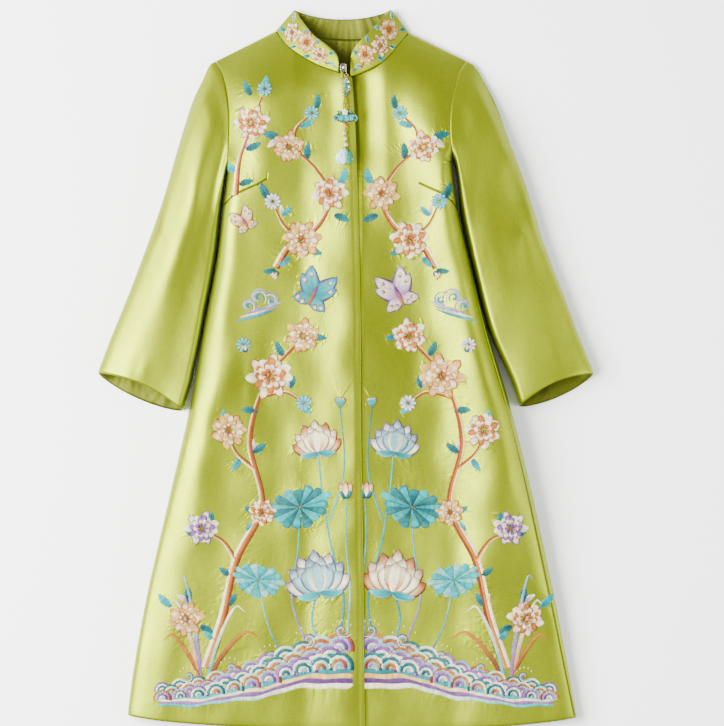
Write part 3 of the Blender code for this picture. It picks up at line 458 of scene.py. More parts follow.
def draw_in(outer, inner, keep):
    """Both skins moved towards the middle of the wall, which rounds its edge."""
    middle = (outer + inner) / 2
    return mix(middle, outer, keep), mix(middle, inner, keep)


def store_uv(mesh, name, uv):
    """Writes a flat place for each point as a UV map."""
    corners = np.empty(len(mesh.loops), dtype=np.int32)
    mesh.loops.foreach_get("vertex_index", corners)
    mesh.uv_layers.new(name=name).data.foreach_set("uv", uv[corners].astype(np.float32).ravel())


def store(mesh, name, kind, field, values):
    """Writes a value for each point that the finish reads."""
    mesh.attributes.new(name, kind, "POINT").data.foreach_set(field, values.astype(np.float32).ravel())


def wall(name, outer, inner, uv, closed=False, swapped=False):
    """A closed wall. outer and inner are rows x columns x 3 in millimetres, and uv is in metres of cloth.
    The inner skin gets the second material, or the outer one if they are swapped."""
    rows, columns = outer.shape[:2]
    points = np.concatenate((outer.reshape(-1, 3), inner.reshape(-1, 3))) * MM
    grid = np.arange(rows * columns).reshape(rows, columns)
    if closed:
        grid = np.concatenate((grid, grid[:, :1]), axis=1)
    half = rows * columns
    a, b, c, d = grid[:-1, :-1], grid[:-1, 1:], grid[1:, 1:], grid[1:, :-1]
    front = joined(a, b, c, d).reshape(-1, 4)
    back = joined(d, c, b, a).reshape(-1, 4) + half
    rims = []
    open_edges = ((grid[0], False), (grid[-1], True), (grid[:, 0], True), (grid[:, -1], False))
    for line, flip in open_edges[: 2 if closed else 4]:
        rim = joined(line[1:], line[:-1], line[:-1] + half, line[1:] + half)
        rims.append(rim[:, ::-1] if flip else rim)
    faces = np.concatenate([front, back, *rims])
    mesh = bpy.data.meshes.new(name)
    mesh.from_pydata(points.tolist(), [], faces.tolist())
    flat_uv = np.concatenate((uv.reshape(-1, 2), uv.reshape(-1, 2)))
    store_uv(mesh, "cloth", flat_uv)
    inside = np.zeros(len(faces), dtype=np.int32)
    first, second = (0, len(front)) if swapped else (len(front), 2 * len(front))
    inside[first:second] = 1
    mesh.materials.append(None)
    mesh.materials.append(None)
    mesh.polygons.foreach_set("material_index", inside)
    mesh.shade_smooth()
    mesh.update()
    if signed_volume(mesh) < 0:
        mesh.flip_normals()
    piece = show(name, mesh)
    sides = np.concatenate((outer, outer[:, :1]), axis=1) if closed else outer
    across = np.linalg.norm(np.diff(sides, axis=1), axis=2).sum(axis=1)
    lengthwise = np.linalg.norm(np.diff(outer, axis=0), axis=2).sum(axis=0)
    one, other = sides[1:, 1:] - sides[:-1, :-1], sides[1:, :-1] - sides[:-1, 1:]
    area = 0.5 * np.linalg.norm(np.cross(one, other), axis=2).sum()
    CUTS[name] = (float(across.max()) * MM, float(lengthwise.max()) * MM, float(area) * MM**2)
    return piece


def signed_volume(mesh):
    points = np.empty(len(mesh.vertices) * 3, dtype=np.float32)
    mesh.vertices.foreach_get("co", points)
    points = points.reshape(-1, 3).astype(float)
    mesh.calc_loop_triangles()
    corners = np.empty(len(mesh.loop_triangles) * 3, dtype=np.int32)
    mesh.loop_triangles.foreach_get("vertices", corners)
    a, b, c = (points[corners.reshape(-1, 3)[:, k]] for k in range(3))
    return float(np.einsum("ij,ij->i", a, np.cross(b, c)).sum() / 6)


# %% [markdown]
# ## The fronts
#
# Each front is one piece of satin from the side seam to the centre. It rolls under at the side, runs
# flat across, and ends at the folded edge, the neckline and the shoulder. Its rows go from hem to
# shoulder. A row begins at the side seam, or higher up on the armhole, at the angle where the seam lies.

# %% Fronts
SKIRT_ROWS, ARMHOLE_ROWS, ROLL_COLUMNS, FRONT_COLUMNS = 236, 64, 12, 96
CLOSURE_LEVEL, HEM_ROWS_SHARE, ROLL_NEAR = 328, 0.25, 15
CLOSURE_SHARE, TOP_EDGE_SHARE = 4 / 12, 5 / 12


def armhole_ends(side):
    return ARMHOLES[side][-1][1], ARMHOLES[side][0][1]


def armhole_angle(side, y):
    return 90 * np.sqrt(smooth((y - armhole_ends(side)[0]) / ARMHOLE_TURN))


def roll_reach(side, y):
    low = armhole_ends(side)[0]
    return np.where(y <= low, body(ROLL, y),
                    mix(body(ROLL, low), ARMHOLE_ROLL, smooth((y - low) / ARMHOLE_TURN)))


def edge_height(y):
    return mix(body(EDGE, y), SHOULDER_SEAM_HEIGHT - CLOTH, smooth((y - 330) / 140))


def side_seam_angle(side, y):
    return body(LEFT_SEAM if side < 0 else RIGHT_SEAM, y)


def row_places(side, rows_skirt, rows_armhole):
    """For each row: its place up the side as a level, and its share of the armhole (or -1 on the skirt)."""
    low, high = armhole_ends(side)
    hem = hem_line(side * HEM_HALF_WIDTH)
    skirt = [(mix(hem, low, k / rows_skirt), -1) for k in range(rows_skirt + 1)]
    above = []
    for k in range(1, rows_armhole + 1):
        share = k / rows_armhole
        above.append((mix(low, high, 0.5 - 0.5 * math.cos(math.pi * share)), share))
    return skirt + above


def front_inner_end(side, row, share):
    """Where a row of a front ends: on the front edge, its short top edge, or the neckline."""
    set_back = 0 if side < 0 else UNDERLAP
    top_y = FRONT_EDGE[-1][1] - (0 if side < 0 else 2)
    neckline = NECKLINES[side]
    if share < 0:
        hem_y = float(hem_line(FRONT_EDGE[0][0] - set_back))
        y = mix(hem_y, CLOSURE_LEVEL, row / SKIRT_ROWS)
        return float(front_edge_x(y)) - set_back, y
    if share <= CLOSURE_SHARE:
        y = mix(CLOSURE_LEVEL, top_y, share / CLOSURE_SHARE)
        return float(front_edge_x(y)) - set_back, y
    if share <= TOP_EDGE_SHARE:
        t = (share - CLOSURE_SHARE) / (TOP_EDGE_SHARE - CLOSURE_SHARE)
        return mix(float(front_edge_x(top_y)) - set_back, neckline[0][0], t), mix(top_y, neckline[0][1], t)
    x, y = along(neckline, (share - TOP_EDGE_SHARE) / (1 - TOP_EDGE_SHARE))
    return float(x), float(y)


def panel_row(side, y, angle, end_x, columns, upper):
    """Plan place, angle round the roll and share of the flat part, for the columns of one row."""
    goal = 90 if upper else -90
    reach, edge = float(roll_reach(side, y)), float(edge_height(y))
    tall = float(body(CROWN, y)) - edge if upper else edge
    round_length = math.radians(abs(goal - angle)) * 0.5 * (reach + tall)
    if y > armhole_ends(side)[0]:
        start_x = float(armhole_x(side, y))
    else:
        start_x = float(side_x(side, y)) - side * reach * (1 - math.cos(math.radians(angle)))
    flat_start = start_x - side * reach * math.cos(math.radians(angle))
    flat = abs(end_x - flat_start)
    near = max(round_length, ROLL_NEAR)
    k = np.arange(columns + 1)
    beyond = (k - ROLL_COLUMNS) / (columns - ROLL_COLUMNS)
    if upper:
        beyond = np.where(beyond > 0, 1 - np.maximum(0, 1 - beyond) ** 1.5, beyond)
    distance = np.where(k <= ROLL_COLUMNS, near * k / ROLL_COLUMNS,
                        near + beyond * (round_length + flat - near))
    rolled = distance < round_length - 1e-6
    at = np.where(rolled, mix(angle, goal, distance / max(round_length, 1e-6)), goal)
    turn = math.cos(math.radians(angle)) - np.cos(np.radians(at))
    t = np.where(rolled, 0, (distance - round_length) / flat)
    x = np.where(rolled, start_x - side * reach * turn, mix(flat_start, end_x, t))
    return x, at, t, start_x


def make_front(name, side):
    places = row_places(side, SKIRT_ROWS, ARMHOLE_ROWS)
    outer, inner, uv = [], [], []
    for row, (y_outer, share) in enumerate(places):
        angle = float(side_seam_angle(side, y_outer) if share < 0 else armhole_angle(side, y_outer))
        end = front_inner_end(side, row, share)
        x, at, t, start_x = panel_row(side, y_outer, angle, end[0], FRONT_COLUMNS, True)
        y = mix(y_outer, end[1], t)
        hem_share = 1 - row / (HEM_ROWS_SHARE * SKIRT_ROWS)
        if share < 0 and hem_share > 0:
            y = y + hem_share * (hem_line(x) - mix(hem_line(start_x), hem_line(end[0]), t))
        lift = np.sin(np.radians(at))
        middle = float(edge_height(y_outer))
        z = np.where(lift > 0, mix(middle, front_height(side, x, y), side_rise(lift)),
                     middle * (1 + side_rise(lift)))
        ix, iy, iz = skin_offset(x, y, z, np.abs(lift), (-side, 0), CLOTH, lift >= 0)
        round_hem = min(1, 0.45 + 0.25 * row) if share < 0 else 1
        for skin, points in zip((outer, inner), draw_in(joined(x, y, z), joined(ix, iy, iz), round_hem)):
            skin.append(points)
        uv.append(joined(x, y) * MM)
    outer, inner, uv = np.array(outer), np.array(inner), np.array(uv)
    # round the folded edge: the last column and the one before it draw in
    for column, keep in ((-1, 0.45), (-2, 0.9)):
        outer[:, column], inner[:, column] = draw_in(outer[:, column], inner[:, column], keep)
    piece = wall(name, outer, inner, uv)
    shade = lap_shade(outer[:, :, 0], outer[:, :, 1]) if side > 0 else np.zeros(outer.shape[:2])
    shade = np.concatenate((shade.ravel(), np.zeros(shade.size)))
    store(piece.data, "lap_shade", "FLOAT", "value", shade)
    return piece


front_right = make_front("satin_front_right", -1)
front_left = make_front("satin_front_left", 1)
for piece in (front_right, front_left):
    print(piece.name, len(piece.data.polygons), "faces")

# %% [markdown]
# ## The back
#
# The back lies flat on the table and curls up at both sides to meet the fronts. Its two halves are
# worked out in the same way as a front, looking down, and they join in the middle of the back.

# %% Back
BACK_HALF, SKIRT_ROWS_BACK, ARMHOLE_ROWS_BACK, NECK_SHARE = 44, 120, 32, 0.62


def back_half(side, row, share, y_outer, middle_x):
    middle = float(edge_height(y_outer))
    if share < 0:
        angle = float(side_seam_angle(side, y_outer))
        angle -= math.degrees(SEAM_GAP / (0.5 * (float(body(ROLL, y_outer)) + middle)))
    else:
        angle = -float(armhole_angle(side, y_outer))
    x, at, t, start_x = panel_row(side, y_outer, angle, middle_x, BACK_HALF, False)
    top_share = float(smooth(share)) ** 1.5 if share > 0 else 0
    if share > 0:
        neck = (LEFT_NECK_POINT if side < 0 else RIGHT_NECK_POINT)[0]
        k = int(NECK_SHARE * BACK_HALF)
        lack = top_share * (neck - x[k])
        x = x + lack * np.where(t < t[k], t / t[k], (1 - t) / (1 - t[k]))
    y = np.full_like(x, y_outer)
    hem_share = 1 - row / (HEM_ROWS_SHARE * SKIRT_ROWS_BACK)
    if share < 0 and hem_share > 0:
        y = y + hem_share * (hem_line(x) - hem_line(start_x))
    if share > 0:
        y = y + (back_top_line(x) - armhole_ends(side)[1]) * top_share
    lift = np.sin(np.radians(at))
    z = np.where(lift > 0, mix(middle, top_height(x, y), side_rise(lift)),
                 middle + (middle - back_height(x, y)) * side_rise(lift))
    ix, iy, iz = skin_offset(x, y, z, np.abs(lift), (-side, 0), CLOTH, lift > 0)
    return joined(x, y, z), joined(ix, iy, iz)


def make_back(name):
    middle_x = HEM_MIDDLE_X - 10
    outer, inner = [], []
    sides = [row_places(side, SKIRT_ROWS_BACK, ARMHOLE_ROWS_BACK) for side in (-1, 1)]
    for row in range(len(sides[0])):
        halves = []
        for side, places in zip((-1, 1), sides):
            y_outer, share = places[row]
            halves.append(back_half(side, row, share, float(y_outer), middle_x))
        level = 0.5 * (halves[0][0][-1, 1] + halves[1][0][-1, 1])
        for skins in halves:
            lack = level - skins[0][-1, 1]
            for skin in skins:
                skin[:, 1] += lack * (np.arange(BACK_HALF + 1) / BACK_HALF) ** 2
        for skin, left_half, right_half in zip((outer, inner), *halves):
            skin.append(np.concatenate((left_half[:-1], right_half[::-1])))
    outer = np.array(outer)
    return wall(name, outer, np.array(inner), outer[:, :, :2] * MM)


back = make_back("satin_back")
print(back.name, len(back.data.polygons), "faces")

# %% [markdown]
# ## The sleeves
#
# A sleeve is a tube that starts as the ring of the armhole and flattens as it runs to the cuff.
# It could be lofted by hand from circles, but rings that blend the armhole into the flat tube keep
# the cap smooth. The lower half of the cuff reaches further down, so its inside shows, as in the photograph.

# %% Sleeves
SLEEVE_EDGE_HEIGHT, SLEEVE_CROWN, CUFF_CROWN, SLEEVE_BLEND = 20, 48, 43, 0.32
CUFF_FRONT_SET_BACK, CUFF_BACK_REACH, CUFF_START, SLEEVE_ROLLS = 11, 13, 0.8, (50, 9)
SLEEVE_RINGS, SLEEVE_HALF, SLEEVE_TUCK, CAP_FULLNESS = 130, 36, 3, 9

# Creases of a sleeve: place along it, place across it, their widths there, and the height
SLEEVE_CREASES = {
    -1: ((0.55, 0.43, 0.5, 0.22, 8), (0.30, 0.40, 0.10, 0.16, 1.2), (0.88, 0.27, 0.22, 0.14, 2),
         (0.94, 0.46, 0.05, 0.05, 1.5)),
    1: ((0.66, 0.76, 0.5, 0.34, 6.5), (0.26, 0.5, 0.10, 0.16, 1.2), (0.5, 0.4, 0.18, 0.13, -1.4),
        (0.92, 0.35, 0.12, 0.1, 1)),
}


def rolled(distance, reach):
    return np.where(distance >= reach, 1, np.sqrt(np.maximum(0, 1 - (1 - distance / reach) ** 2)))


def armhole_seam(side, y, upper):
    lift = np.sin(np.radians(armhole_angle(side, y)))
    x = armhole_x(side, y)
    goal = front_height(side, x, y) if upper else back_height(x, y)
    return mix(edge_height(y), goal, side_rise(lift)), lift


def sleeve_skin(side, k, w, upper):
    """Outer and inner points of one half of a ring. k runs down the sleeve, w from its outer edge in."""
    outer_line, inner_line = SLEEVES[side]
    (ox, oy), (ix, iy) = along(outer_line, k), along(inner_line, k)
    low, high = armhole_ends(side)
    seam_y = mix(high, low, w)
    seam_x = armhole_x(side, seam_y)
    seam_z, seam_lift = armhole_seam(side, seam_y, upper)
    cap = (1 - k) ** 3
    x = mix(ox, ix, w) + side * SEAM_GAP + cap * (seam_x - mix(outer_line[0][0], inner_line[0][0], w))
    y = mix(oy, iy, w) + cap * (seam_y - mix(outer_line[0][1], inner_line[0][1], w))
    if k > CUFF_START:
        bx, by = along(outer_line, k - 0.05)
        down = np.array((ox - bx, oy - by))
        down /= np.hypot(*down)
        reach, blunt = (-CUFF_FRONT_SET_BACK, 1) if upper else (CUFF_BACK_REACH, 0.55)
        bow = np.maximum(0, np.sin(math.pi * w)) ** blunt
        shift = reach * bow * ((k - CUFF_START) / (1 - CUFF_START)) ** 2
        x, y = x + down[0] * shift, y + down[1] * shift
    blend = float(smooth(k / SLEEVE_BLEND))
    room = float(side * (ix - side_x(side, iy)))
    towards = math.sqrt(blend) * (1 - float(smooth((k - 0.66) / 0.3))) * min(max(room - 2, 0), 16)
    edge = mix(edge_height(seam_y), SLEEVE_EDGE_HEIGHT, blend)
    lift = (rolled(to_line(x, y, outer_line), SLEEVE_ROLLS[0])
            * rolled(to_line(x, y, inner_line), SLEEVE_ROLLS[1]))
    lift = np.where((w <= 0) | (w >= 1), 0, lift)
    crown = mix(SLEEVE_CROWN, CUFF_CROWN, float(smooth((k - 0.5) / 0.5)))
    if upper:
        for ck, cw, dk, dw, height in SLEEVE_CREASES[side]:
            crown = crown + height * np.exp(-(((k - ck) / dk) ** 2) - ((w - cw) / dw) ** 2)
        crown = crown + 0.8 * soft_waves(x, y)
        height = mix(edge, crown, lift)
    else:
        height = mix(edge, 0, np.minimum(1, 1.25 * lift))
    at_edge = (w <= 0) | (w >= 1)
    height = np.where(at_edge, height, mix(seam_z, height, blend))
    if upper:
        full = smooth(k / 0.12) * (1 - smooth((k - 0.14) / 0.3))
        height = height + CAP_FULLNESS * full * smooth(w / 0.12) * (1 - smooth((w - 0.2) / 0.6))
    lift = np.where(at_edge, lift, mix(np.maximum(seam_lift, 0.5), lift, blend))
    x = x - side * towards * smooth((w - 0.66) / 0.34)
    if not upper:
        x = (x - side * blend * (1 - float(smooth((k - 0.6) / 0.3))) * SLEEVE_TUCK
             * np.exp(-(((0.94 - w) / 0.045) ** 2)))
    inward = np.array((ix - ox, iy - oy))
    inward /= np.hypot(*inward)
    toward = np.where(w > 0.5, -1, 1)
    sx, sy, sz = skin_offset(x, y, height, lift, (inward[0] * toward, inward[1] * toward), CLOTH, upper)
    return joined(x, y, height), joined(sx, sy, sz)


def make_sleeve(name, side):
    outer, inner, uv = [], [], []
    length = line_length(SLEEVES[side][0]) * MM
    for ring in range(SLEEVE_RINGS + 1):
        s = ring / SLEEVE_RINGS
        k = 0.85 * s + 0.15 * s**2
        w = 0.5 - 0.5 * np.cos(math.pi * np.arange(SLEEVE_HALF + 1) / SLEEVE_HALF)
        upper = sleeve_skin(side, k, w, True)
        lower = sleeve_skin(side, k, w[1:-1], False)
        keep = min(1, 0.45 + 0.3 * (SLEEVE_RINGS - ring))
        loops = [np.concatenate((half[0], half[1][::-1])) for half in zip(upper, lower)]
        for skin, points in zip((outer, inner), draw_in(*loops, keep)):
            skin.append(points)
        width = float(np.hypot(*(upper[0][-1, :2] - upper[0][0, :2]))) * MM
        across = np.concatenate((w, (2 - w[1:-1])[::-1])) * width
        uv.append(joined(across, np.full_like(across, -k * length)))
    return wall(name, np.array(outer), np.array(inner), np.array(uv), closed=True)


sleeve_right = make_sleeve("satin_sleeve_right", -1)
sleeve_left = make_sleeve("satin_sleeve_left", 1)
print(sleeve_right.name, len(sleeve_right.data.polygons), "faces")

# %% [markdown]
# ## The stand collar
#
# The collar is one stiffened band. It stands up from the neckline, but on a coat that lies flat it
# folds over at both sides, so its front half lies over its back half. It is a strip of stations round
# the neck. Each station is a short line from the neck seam to the collar's top edge.

# %% Collar
COLLAR_FOLD_HEIGHT, COLLAR_FOLD_TOP_HEIGHT, COLLAR_GAP, COLLAR_FOLD_ROLL = 7.2, 13, 0.8, 14
COLLAR_FRONT_LIFT, COLLAR_BACK_LIFT, BACK_COLLAR_TOP_Y = 2.4, 3, 544.2
COLLAR_FRONT_STEPS, COLLAR_BACK_STEPS, COLLAR_ROWS, COLLAR_HEIGHT, BACK_NECK_LENGTH = 44, 60, 22, 42, 210
COLLAR_TOPS = {-1: LEFT_COLLAR_TOP, 1: RIGHT_COLLAR_TOP}
COLLAR_FOLDS = {-1: (LEFT_NECK_POINT, LEFT_COLLAR_TOP[-1]), 1: (RIGHT_NECK_POINT, RIGHT_COLLAR_TOP[-1])}


def collar_front_point(side, share, k):
    """A point on the front half of the collar: share from the front end to the fold, k from the seam up."""
    share, k = np.asarray(share, float), np.asarray(k, float)
    bx, by = along(NECKLINES[side], share)
    tx, ty = along(COLLAR_TOPS[side], share)
    up = mix(COLLAR_GAP / np.hypot(tx - bx, ty - by), 1, k)
    x, y = mix(bx, tx, up), mix(by, ty, up)
    lift = rolled(to_line(x, y, COLLAR_FOLDS[side]), COLLAR_FOLD_ROLL)
    lift = np.where(share >= 1, 0, lift)
    goal = top_height(bx, by, fine=False) - (lap_drop(bx, by) if side > 0 else 0)
    goal = goal + COLLAR_FRONT_LIFT * np.sin(k * math.pi * 0.6)
    return x, y, mix(mix(COLLAR_FOLD_HEIGHT, COLLAR_FOLD_TOP_HEIGHT, k), goal, lift), lift


def make_collar(name):
    shares = np.arange(COLLAR_FRONT_STEPS) / COLLAR_FRONT_STEPS
    steps = 0.5 - 0.5 * np.cos(math.pi * np.arange(COLLAR_BACK_STEPS + 1) / COLLAR_BACK_STEPS)
    outer, inner, uv = [], [], []
    length = sum(line_length(line) for line in NECKLINES.values()) + BACK_NECK_LENGTH
    for row in range(COLLAR_ROWS + 1):
        k = row / COLLAR_ROWS
        parts = []
        x, y, z, lift = collar_front_point(-1, shares, np.full_like(shares, k))
        parts.append((x, y, z, lift, np.full_like(x, 1), np.full(x.shape, True)))
        bx = mix(LEFT_NECK_POINT[0], RIGHT_NECK_POINT[0], steps)
        by = back_top_line(bx)
        tx = mix(LEFT_COLLAR_TOP[-1][0], RIGHT_COLLAR_TOP[-1][0], steps)
        ty = mix(BACK_COLLAR_TOP_Y, LEFT_COLLAR_TOP[-1][1], np.abs(2 * steps - 1) ** 2.2)
        up = mix(COLLAR_GAP / np.hypot(tx - bx, ty - by), 1, k)
        x, y = mix(bx, tx, up), mix(by, ty, up)
        fold = np.where(steps < 0.5, to_line(x, y, COLLAR_FOLDS[-1]), to_line(x, y, COLLAR_FOLDS[1]))
        lift = rolled(fold, COLLAR_FOLD_ROLL)
        lift[0], lift[-1] = 0, 0
        goal = back_height(bx, by) * (1 - k) + COLLAR_BACK_LIFT * k**1.5
        z = mix(mix(COLLAR_FOLD_HEIGHT, COLLAR_FOLD_TOP_HEIGHT, k), goal, lift)
        parts.append((x, y, z, lift, np.where(steps < 0.5, 1, -1), np.full(x.shape, False)))
        x, y, z, lift = collar_front_point(1, shares[::-1], np.full_like(shares, k))
        parts.append((x, y, z, lift, np.full_like(x, -1), np.full(x.shape, True)))
        x, y, z, lift, inward, upper = (np.concatenate([part[i] for part in parts]) for i in range(6))
        ix, iy, iz = skin_offset(x, y, z, lift, (inward, 0), COLLAR_CLOTH, upper)
        keep = min(1, 0.4 + 0.35 * (COLLAR_ROWS - row), 0.7 + 0.3 * row)
        ends = np.ones(len(x))
        ends[[0, -1]], ends[[1, -2]] = 0.4, 0.85
        keep = np.minimum(keep, ends)[:, None]
        for skin, points in zip((outer, inner), draw_in(joined(x, y, z), joined(ix, iy, iz), keep)):
            skin.append(points)
        uv.append(joined(np.linspace(0, length, len(x)) * MM, k * COLLAR_HEIGHT * MM))
    return wall(name, np.array(outer), np.array(inner), np.array(uv))


collar = make_collar("satin_collar")
print(collar.name, len(collar.data.polygons), "faces")

# %% [markdown]
# ## The back neck facing
#
# Where the neck is open, the inside of the back shows. A shaped facing of the same satin is sewn there
# to cover the seam. It is a thin shell on the inside of the back.

# %% Facing
def make_facing(name):
    columns, rows = 40, 16
    outer, inner, uv = [], [], []
    for row in range(rows + 1):
        k = row / rows
        t = np.arange(columns + 1) / columns
        x = mix(-76, 66, t)
        arc = np.maximum(np.sin(math.pi * t), 0) ** 0.5
        y = back_top_line(x) - mix(-1.4, 12 + 50 * arc, k)
        z = back_height(x, y) + CLOTH + 0.5
        outer.append(joined(x, y, z + 1))
        inner.append(joined(x, y, z))
        uv.append(joined(x, y) * MM)
    return wall(name, np.array(outer), np.array(inner), np.array(uv), swapped=True)


facing = make_facing("satin_neck_facing")
print("facing", len(facing.data.polygons), "faces")

# %% [markdown]
# ## Satin
#
# Duchess satin is woven so that long threads float on its face. They run down the coat, and they catch
# light as one soft band across them. The colour is a strong yellow green, and its highlights go pale.
# A plain glossy shader would look like plastic, so the weave is a fine bump, the roughness is broken
# by slubs along the threads, and the gloss stretches across the warp.

# %% Satin material
class Look:
    """A material. Nodes are added one by one, with values or other nodes' outputs in their sockets."""

    def __init__(self, name, **sockets):
        self.material = bpy.data.materials.new(name)
        self.material.use_nodes = True
        self.tree = self.material.node_tree
        self.finish(**sockets)

    def put(self, made, key, value):
        socket = made.inputs[key.replace("_", " ") if isinstance(key, str) else key]
        if isinstance(value, bpy.types.NodeSocket):
            self.tree.links.new(value, socket)
        else:
            socket.default_value = value

    def finish(self, **sockets):
        for key, value in sockets.items():
            self.put(self.tree.nodes["Principled BSDF"], key, value)
        return self.material

    def add(self, kind, output, *values, settings=(), **sockets):
        """A node's output. settings are pairs, values go in by place and sockets by name."""
        made = self.tree.nodes.new(f"ShaderNode{kind}")
        for key, value in settings:
            setattr(made, key, value)
        for key, value in (*enumerate(values), *sockets.items()):
            self.put(made, key, value)
        return made.outputs[output]

    def maths(self, operation, *values, kind="Math", output="Value", **sockets):
        return self.add(kind, output, *values, settings=[("operation", operation)], **sockets)

    def span(self, value, low, high, to_low=0, to_high=1, steps="LINEAR"):
        """Stretches what lies between two values to between two others."""
        return self.add("MapRange", "Result", settings=[("interpolation_type", steps)], Value=value,
                        From_Min=low, From_Max=high, To_Min=to_low, To_Max=to_high)

    def blend(self, factor, first, second):
        a, b = (v if isinstance(v, bpy.types.NodeSocket) else (*v, 1) for v in (first, second))
        return self.add("Mix", "Result", settings=[("data_type", "RGBA")], Factor=factor, A=a, B=b)

    def ramp(self, value, *stops):
        made = self.tree.nodes.new("ShaderNodeValToRGB")
        for element, (at, colour) in zip(made.color_ramp.elements, stops):
            element.position, element.color = at, (*colour, 1)
        self.put(made, "Fac", value)
        return made.outputs["Color"]

    def noise(self, where, scale, detail, roughness=0.6):
        """Cloudy noise. A scale of three numbers stretches it."""
        if isinstance(scale, tuple):
            where, scale = self.add("Mapping", "Vector", Vector=where, Scale=scale), 1
        return self.add("TexNoise", "Fac", Vector=where, Scale=scale, Detail=detail, Roughness=roughness)

    def bump(self, height, distance, strength=1, **before):
        return self.add("Bump", "Normal", Height=height, Strength=strength, Distance=distance, **before)


def line_mask(look, uv, start, end, width):
    """A value that is 0 on a line between two places of the cloth and 1 away from it."""
    run = (end[0] - start[0], end[1] - start[1], 0)
    flat = {"kind": "VectorMath", "output": "Vector"}
    beside = look.maths("SUBTRACT", uv, (*start, 0), **flat)
    share = look.span(look.maths("DOT_PRODUCT", beside, run, kind="VectorMath"), 0,
                      run[0] ** 2 + run[1] ** 2)
    nearest = look.maths("SCALE", run, Scale=share, **flat)
    apart = look.maths("LENGTH", look.maths("SUBTRACT", beside, nearest, **flat), kind="VectorMath")
    return look.span(apart, 0, width, steps="SMOOTHSTEP")


def make_satin(name, colour, shade, seams=(), roughness=0.43, folds=((26, 13, 1), 0.0006)):
    look = Look(name, Metallic=0.9, Anisotropic=0.35, Sheen_Weight=0.03, Sheen_Roughness=0.35,
                Sheen_Tint=(0.95, 1, 0.5, 1), Specular_IOR_Level=0.1)
    uv = look.add("UVMap", "UV", settings=[("uv_map", "cloth")])
    weave = look.maths("ADD", look.noise(uv, (900, 60, 1), 3), look.noise(uv, (70, 1100, 1), 2))
    grain = look.maths("ADD", weave, look.noise(uv, (430, 430, 1), 1))
    tint = look.blend(look.span(grain, 1.2, 1.8), shade, colour)
    rough = look.span(look.noise(uv, (5, 5, 1), 2, 0.5), 0.3, 0.7, roughness - 0.05, roughness + 0.07)

    soft = look.bump(look.noise(uv, folds[0], 2), folds[1])
    root = look.add("Attribute", "Vector", settings=[("attribute_name", "pucker_root")])
    amount = look.add("Attribute", "Fac", settings=[("attribute_name", "pucker")])
    streaks = look.noise(root, 150, 0, 0.5)
    patches = look.span(look.noise(uv, (16, 16, 1), 0), 0.42, 0.64, 0.25, steps="SMOOTHSTEP")
    strength = look.maths("MULTIPLY", amount, patches)
    drawn_in = look.bump(look.maths("MULTIPLY", streaks, strength), 0.0011, Normal=soft)
    normal = look.bump(grain, 0.0003, 0.25, Normal=drawn_in)
    if seams:
        mask = line_mask(look, uv, *seams[0], SEAM_WIDTH)
        for seam in seams[1:]:
            mask = look.maths("MULTIPLY", mask, line_mask(look, uv, *seam, SEAM_WIDTH))
        normal = look.bump(mask, 0.0007, Normal=normal)
        # Painted shade: the colour darkens along the darts and the left side seam, and the left front
        # darkens by its lap_shade values where it lies under the right front's edge.
        seam_shaded = look.blend(mask, [0.22 * v for v in shade], tint)
        lap = look.add("Attribute", "Fac", settings=[("attribute_name", "lap_shade")])
        tint = look.blend(lap, seam_shaded, [0.12 * v for v in shade])
    return look.finish(Base_Color=tint, Roughness=rough, Normal=normal)


SEAM_WIDTH = 0.0024
# The bust darts, from the side or the armhole towards the bust and the other way, in metres of cloth
RIGHT_DART = ((-0.1876, 0.2558), (-0.1767, 0.2674), (-0.1572, 0.2767), (-0.1349, 0.2860), (-0.1225, 0.2938),
              (-0.1212, 0.3031))
LEFT_DART = ((0.1141, 0.2876), (0.1302, 0.2798), (0.1473, 0.2725), (0.1643, 0.2597), (0.1752, 0.2434))
LEFT_SIDE_SEAM = ((0.2496, -0.0566), (0.2782, -0.1775), (0.3221, -0.3820), (0.3540, -0.5350))
DARTS = [pair for line in (RIGHT_DART, LEFT_DART, LEFT_SIDE_SEAM) for pair in zip(line, line[1:])]
SATIN, SATIN_SHADE = (0.245, 0.296, 0.006), (0.194, 0.234, 0.005)
satin = make_satin("chartreuse_satin", SATIN, SATIN_SHADE)
satin_fronts = make_satin("chartreuse_satin_fronts", SATIN, SATIN_SHADE, DARTS)
satin_collar = make_satin("chartreuse_satin_collar", SATIN, SATIN_SHADE, roughness=0.6)
# Darker copies of the satin for the coat's inner skins, the neck facing and the cuffs: their darker colour
# is painted shade for the hollows these parts lie in.
shaded_satin_inside = make_satin("chartreuse_satin_shaded_inside", (0.125, 0.140, 0.016), (0.095, 0.107, 0.012),
                          roughness=0.5,
                          folds=((46, 4, 1), 0.0036))
shaded_satin_cuff = make_satin("chartreuse_satin_shaded_cuff", (0.105, 0.120, 0.012), (0.075, 0.088, 0.008), roughness=0.5,
                        folds=((26, 15, 1), 0.0060))

BODY_OF_COAT = "coat"
FACES = {front_right: satin_fronts, front_left: satin_fronts, collar: satin_collar}
CLOTHS = {
    front_right: ["front_right"], front_left: ["front_left"], back: ["back"], sleeve_right: ["sleeve_right"],
    sleeve_left: ["sleeve_left"], collar: ["collar"], facing: ["back_neck_facing"],
}
for piece, nodes in CLOTHS.items():
    piece.data.materials[0] = FACES.get(piece, satin)
    piece.data.materials[1] = shaded_satin_cuff if piece in (sleeve_right, sleeve_left) else shaded_satin_inside
    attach(piece, BODY_OF_COAT)
    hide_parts(*nodes)
print("satin inside on", shaded_satin_inside.users, "pieces")

# %% [markdown]
# ## Stitches
#
# Embroidery is thread laid side by side over the satin, so each petal or leaf is a low pad with its own
# sheen. A painted texture would lie dead flat. Here each pad is a small domed grid along a drawn centre
# line. It carries two things for its finish: a colour at each point, and the direction of its threads.

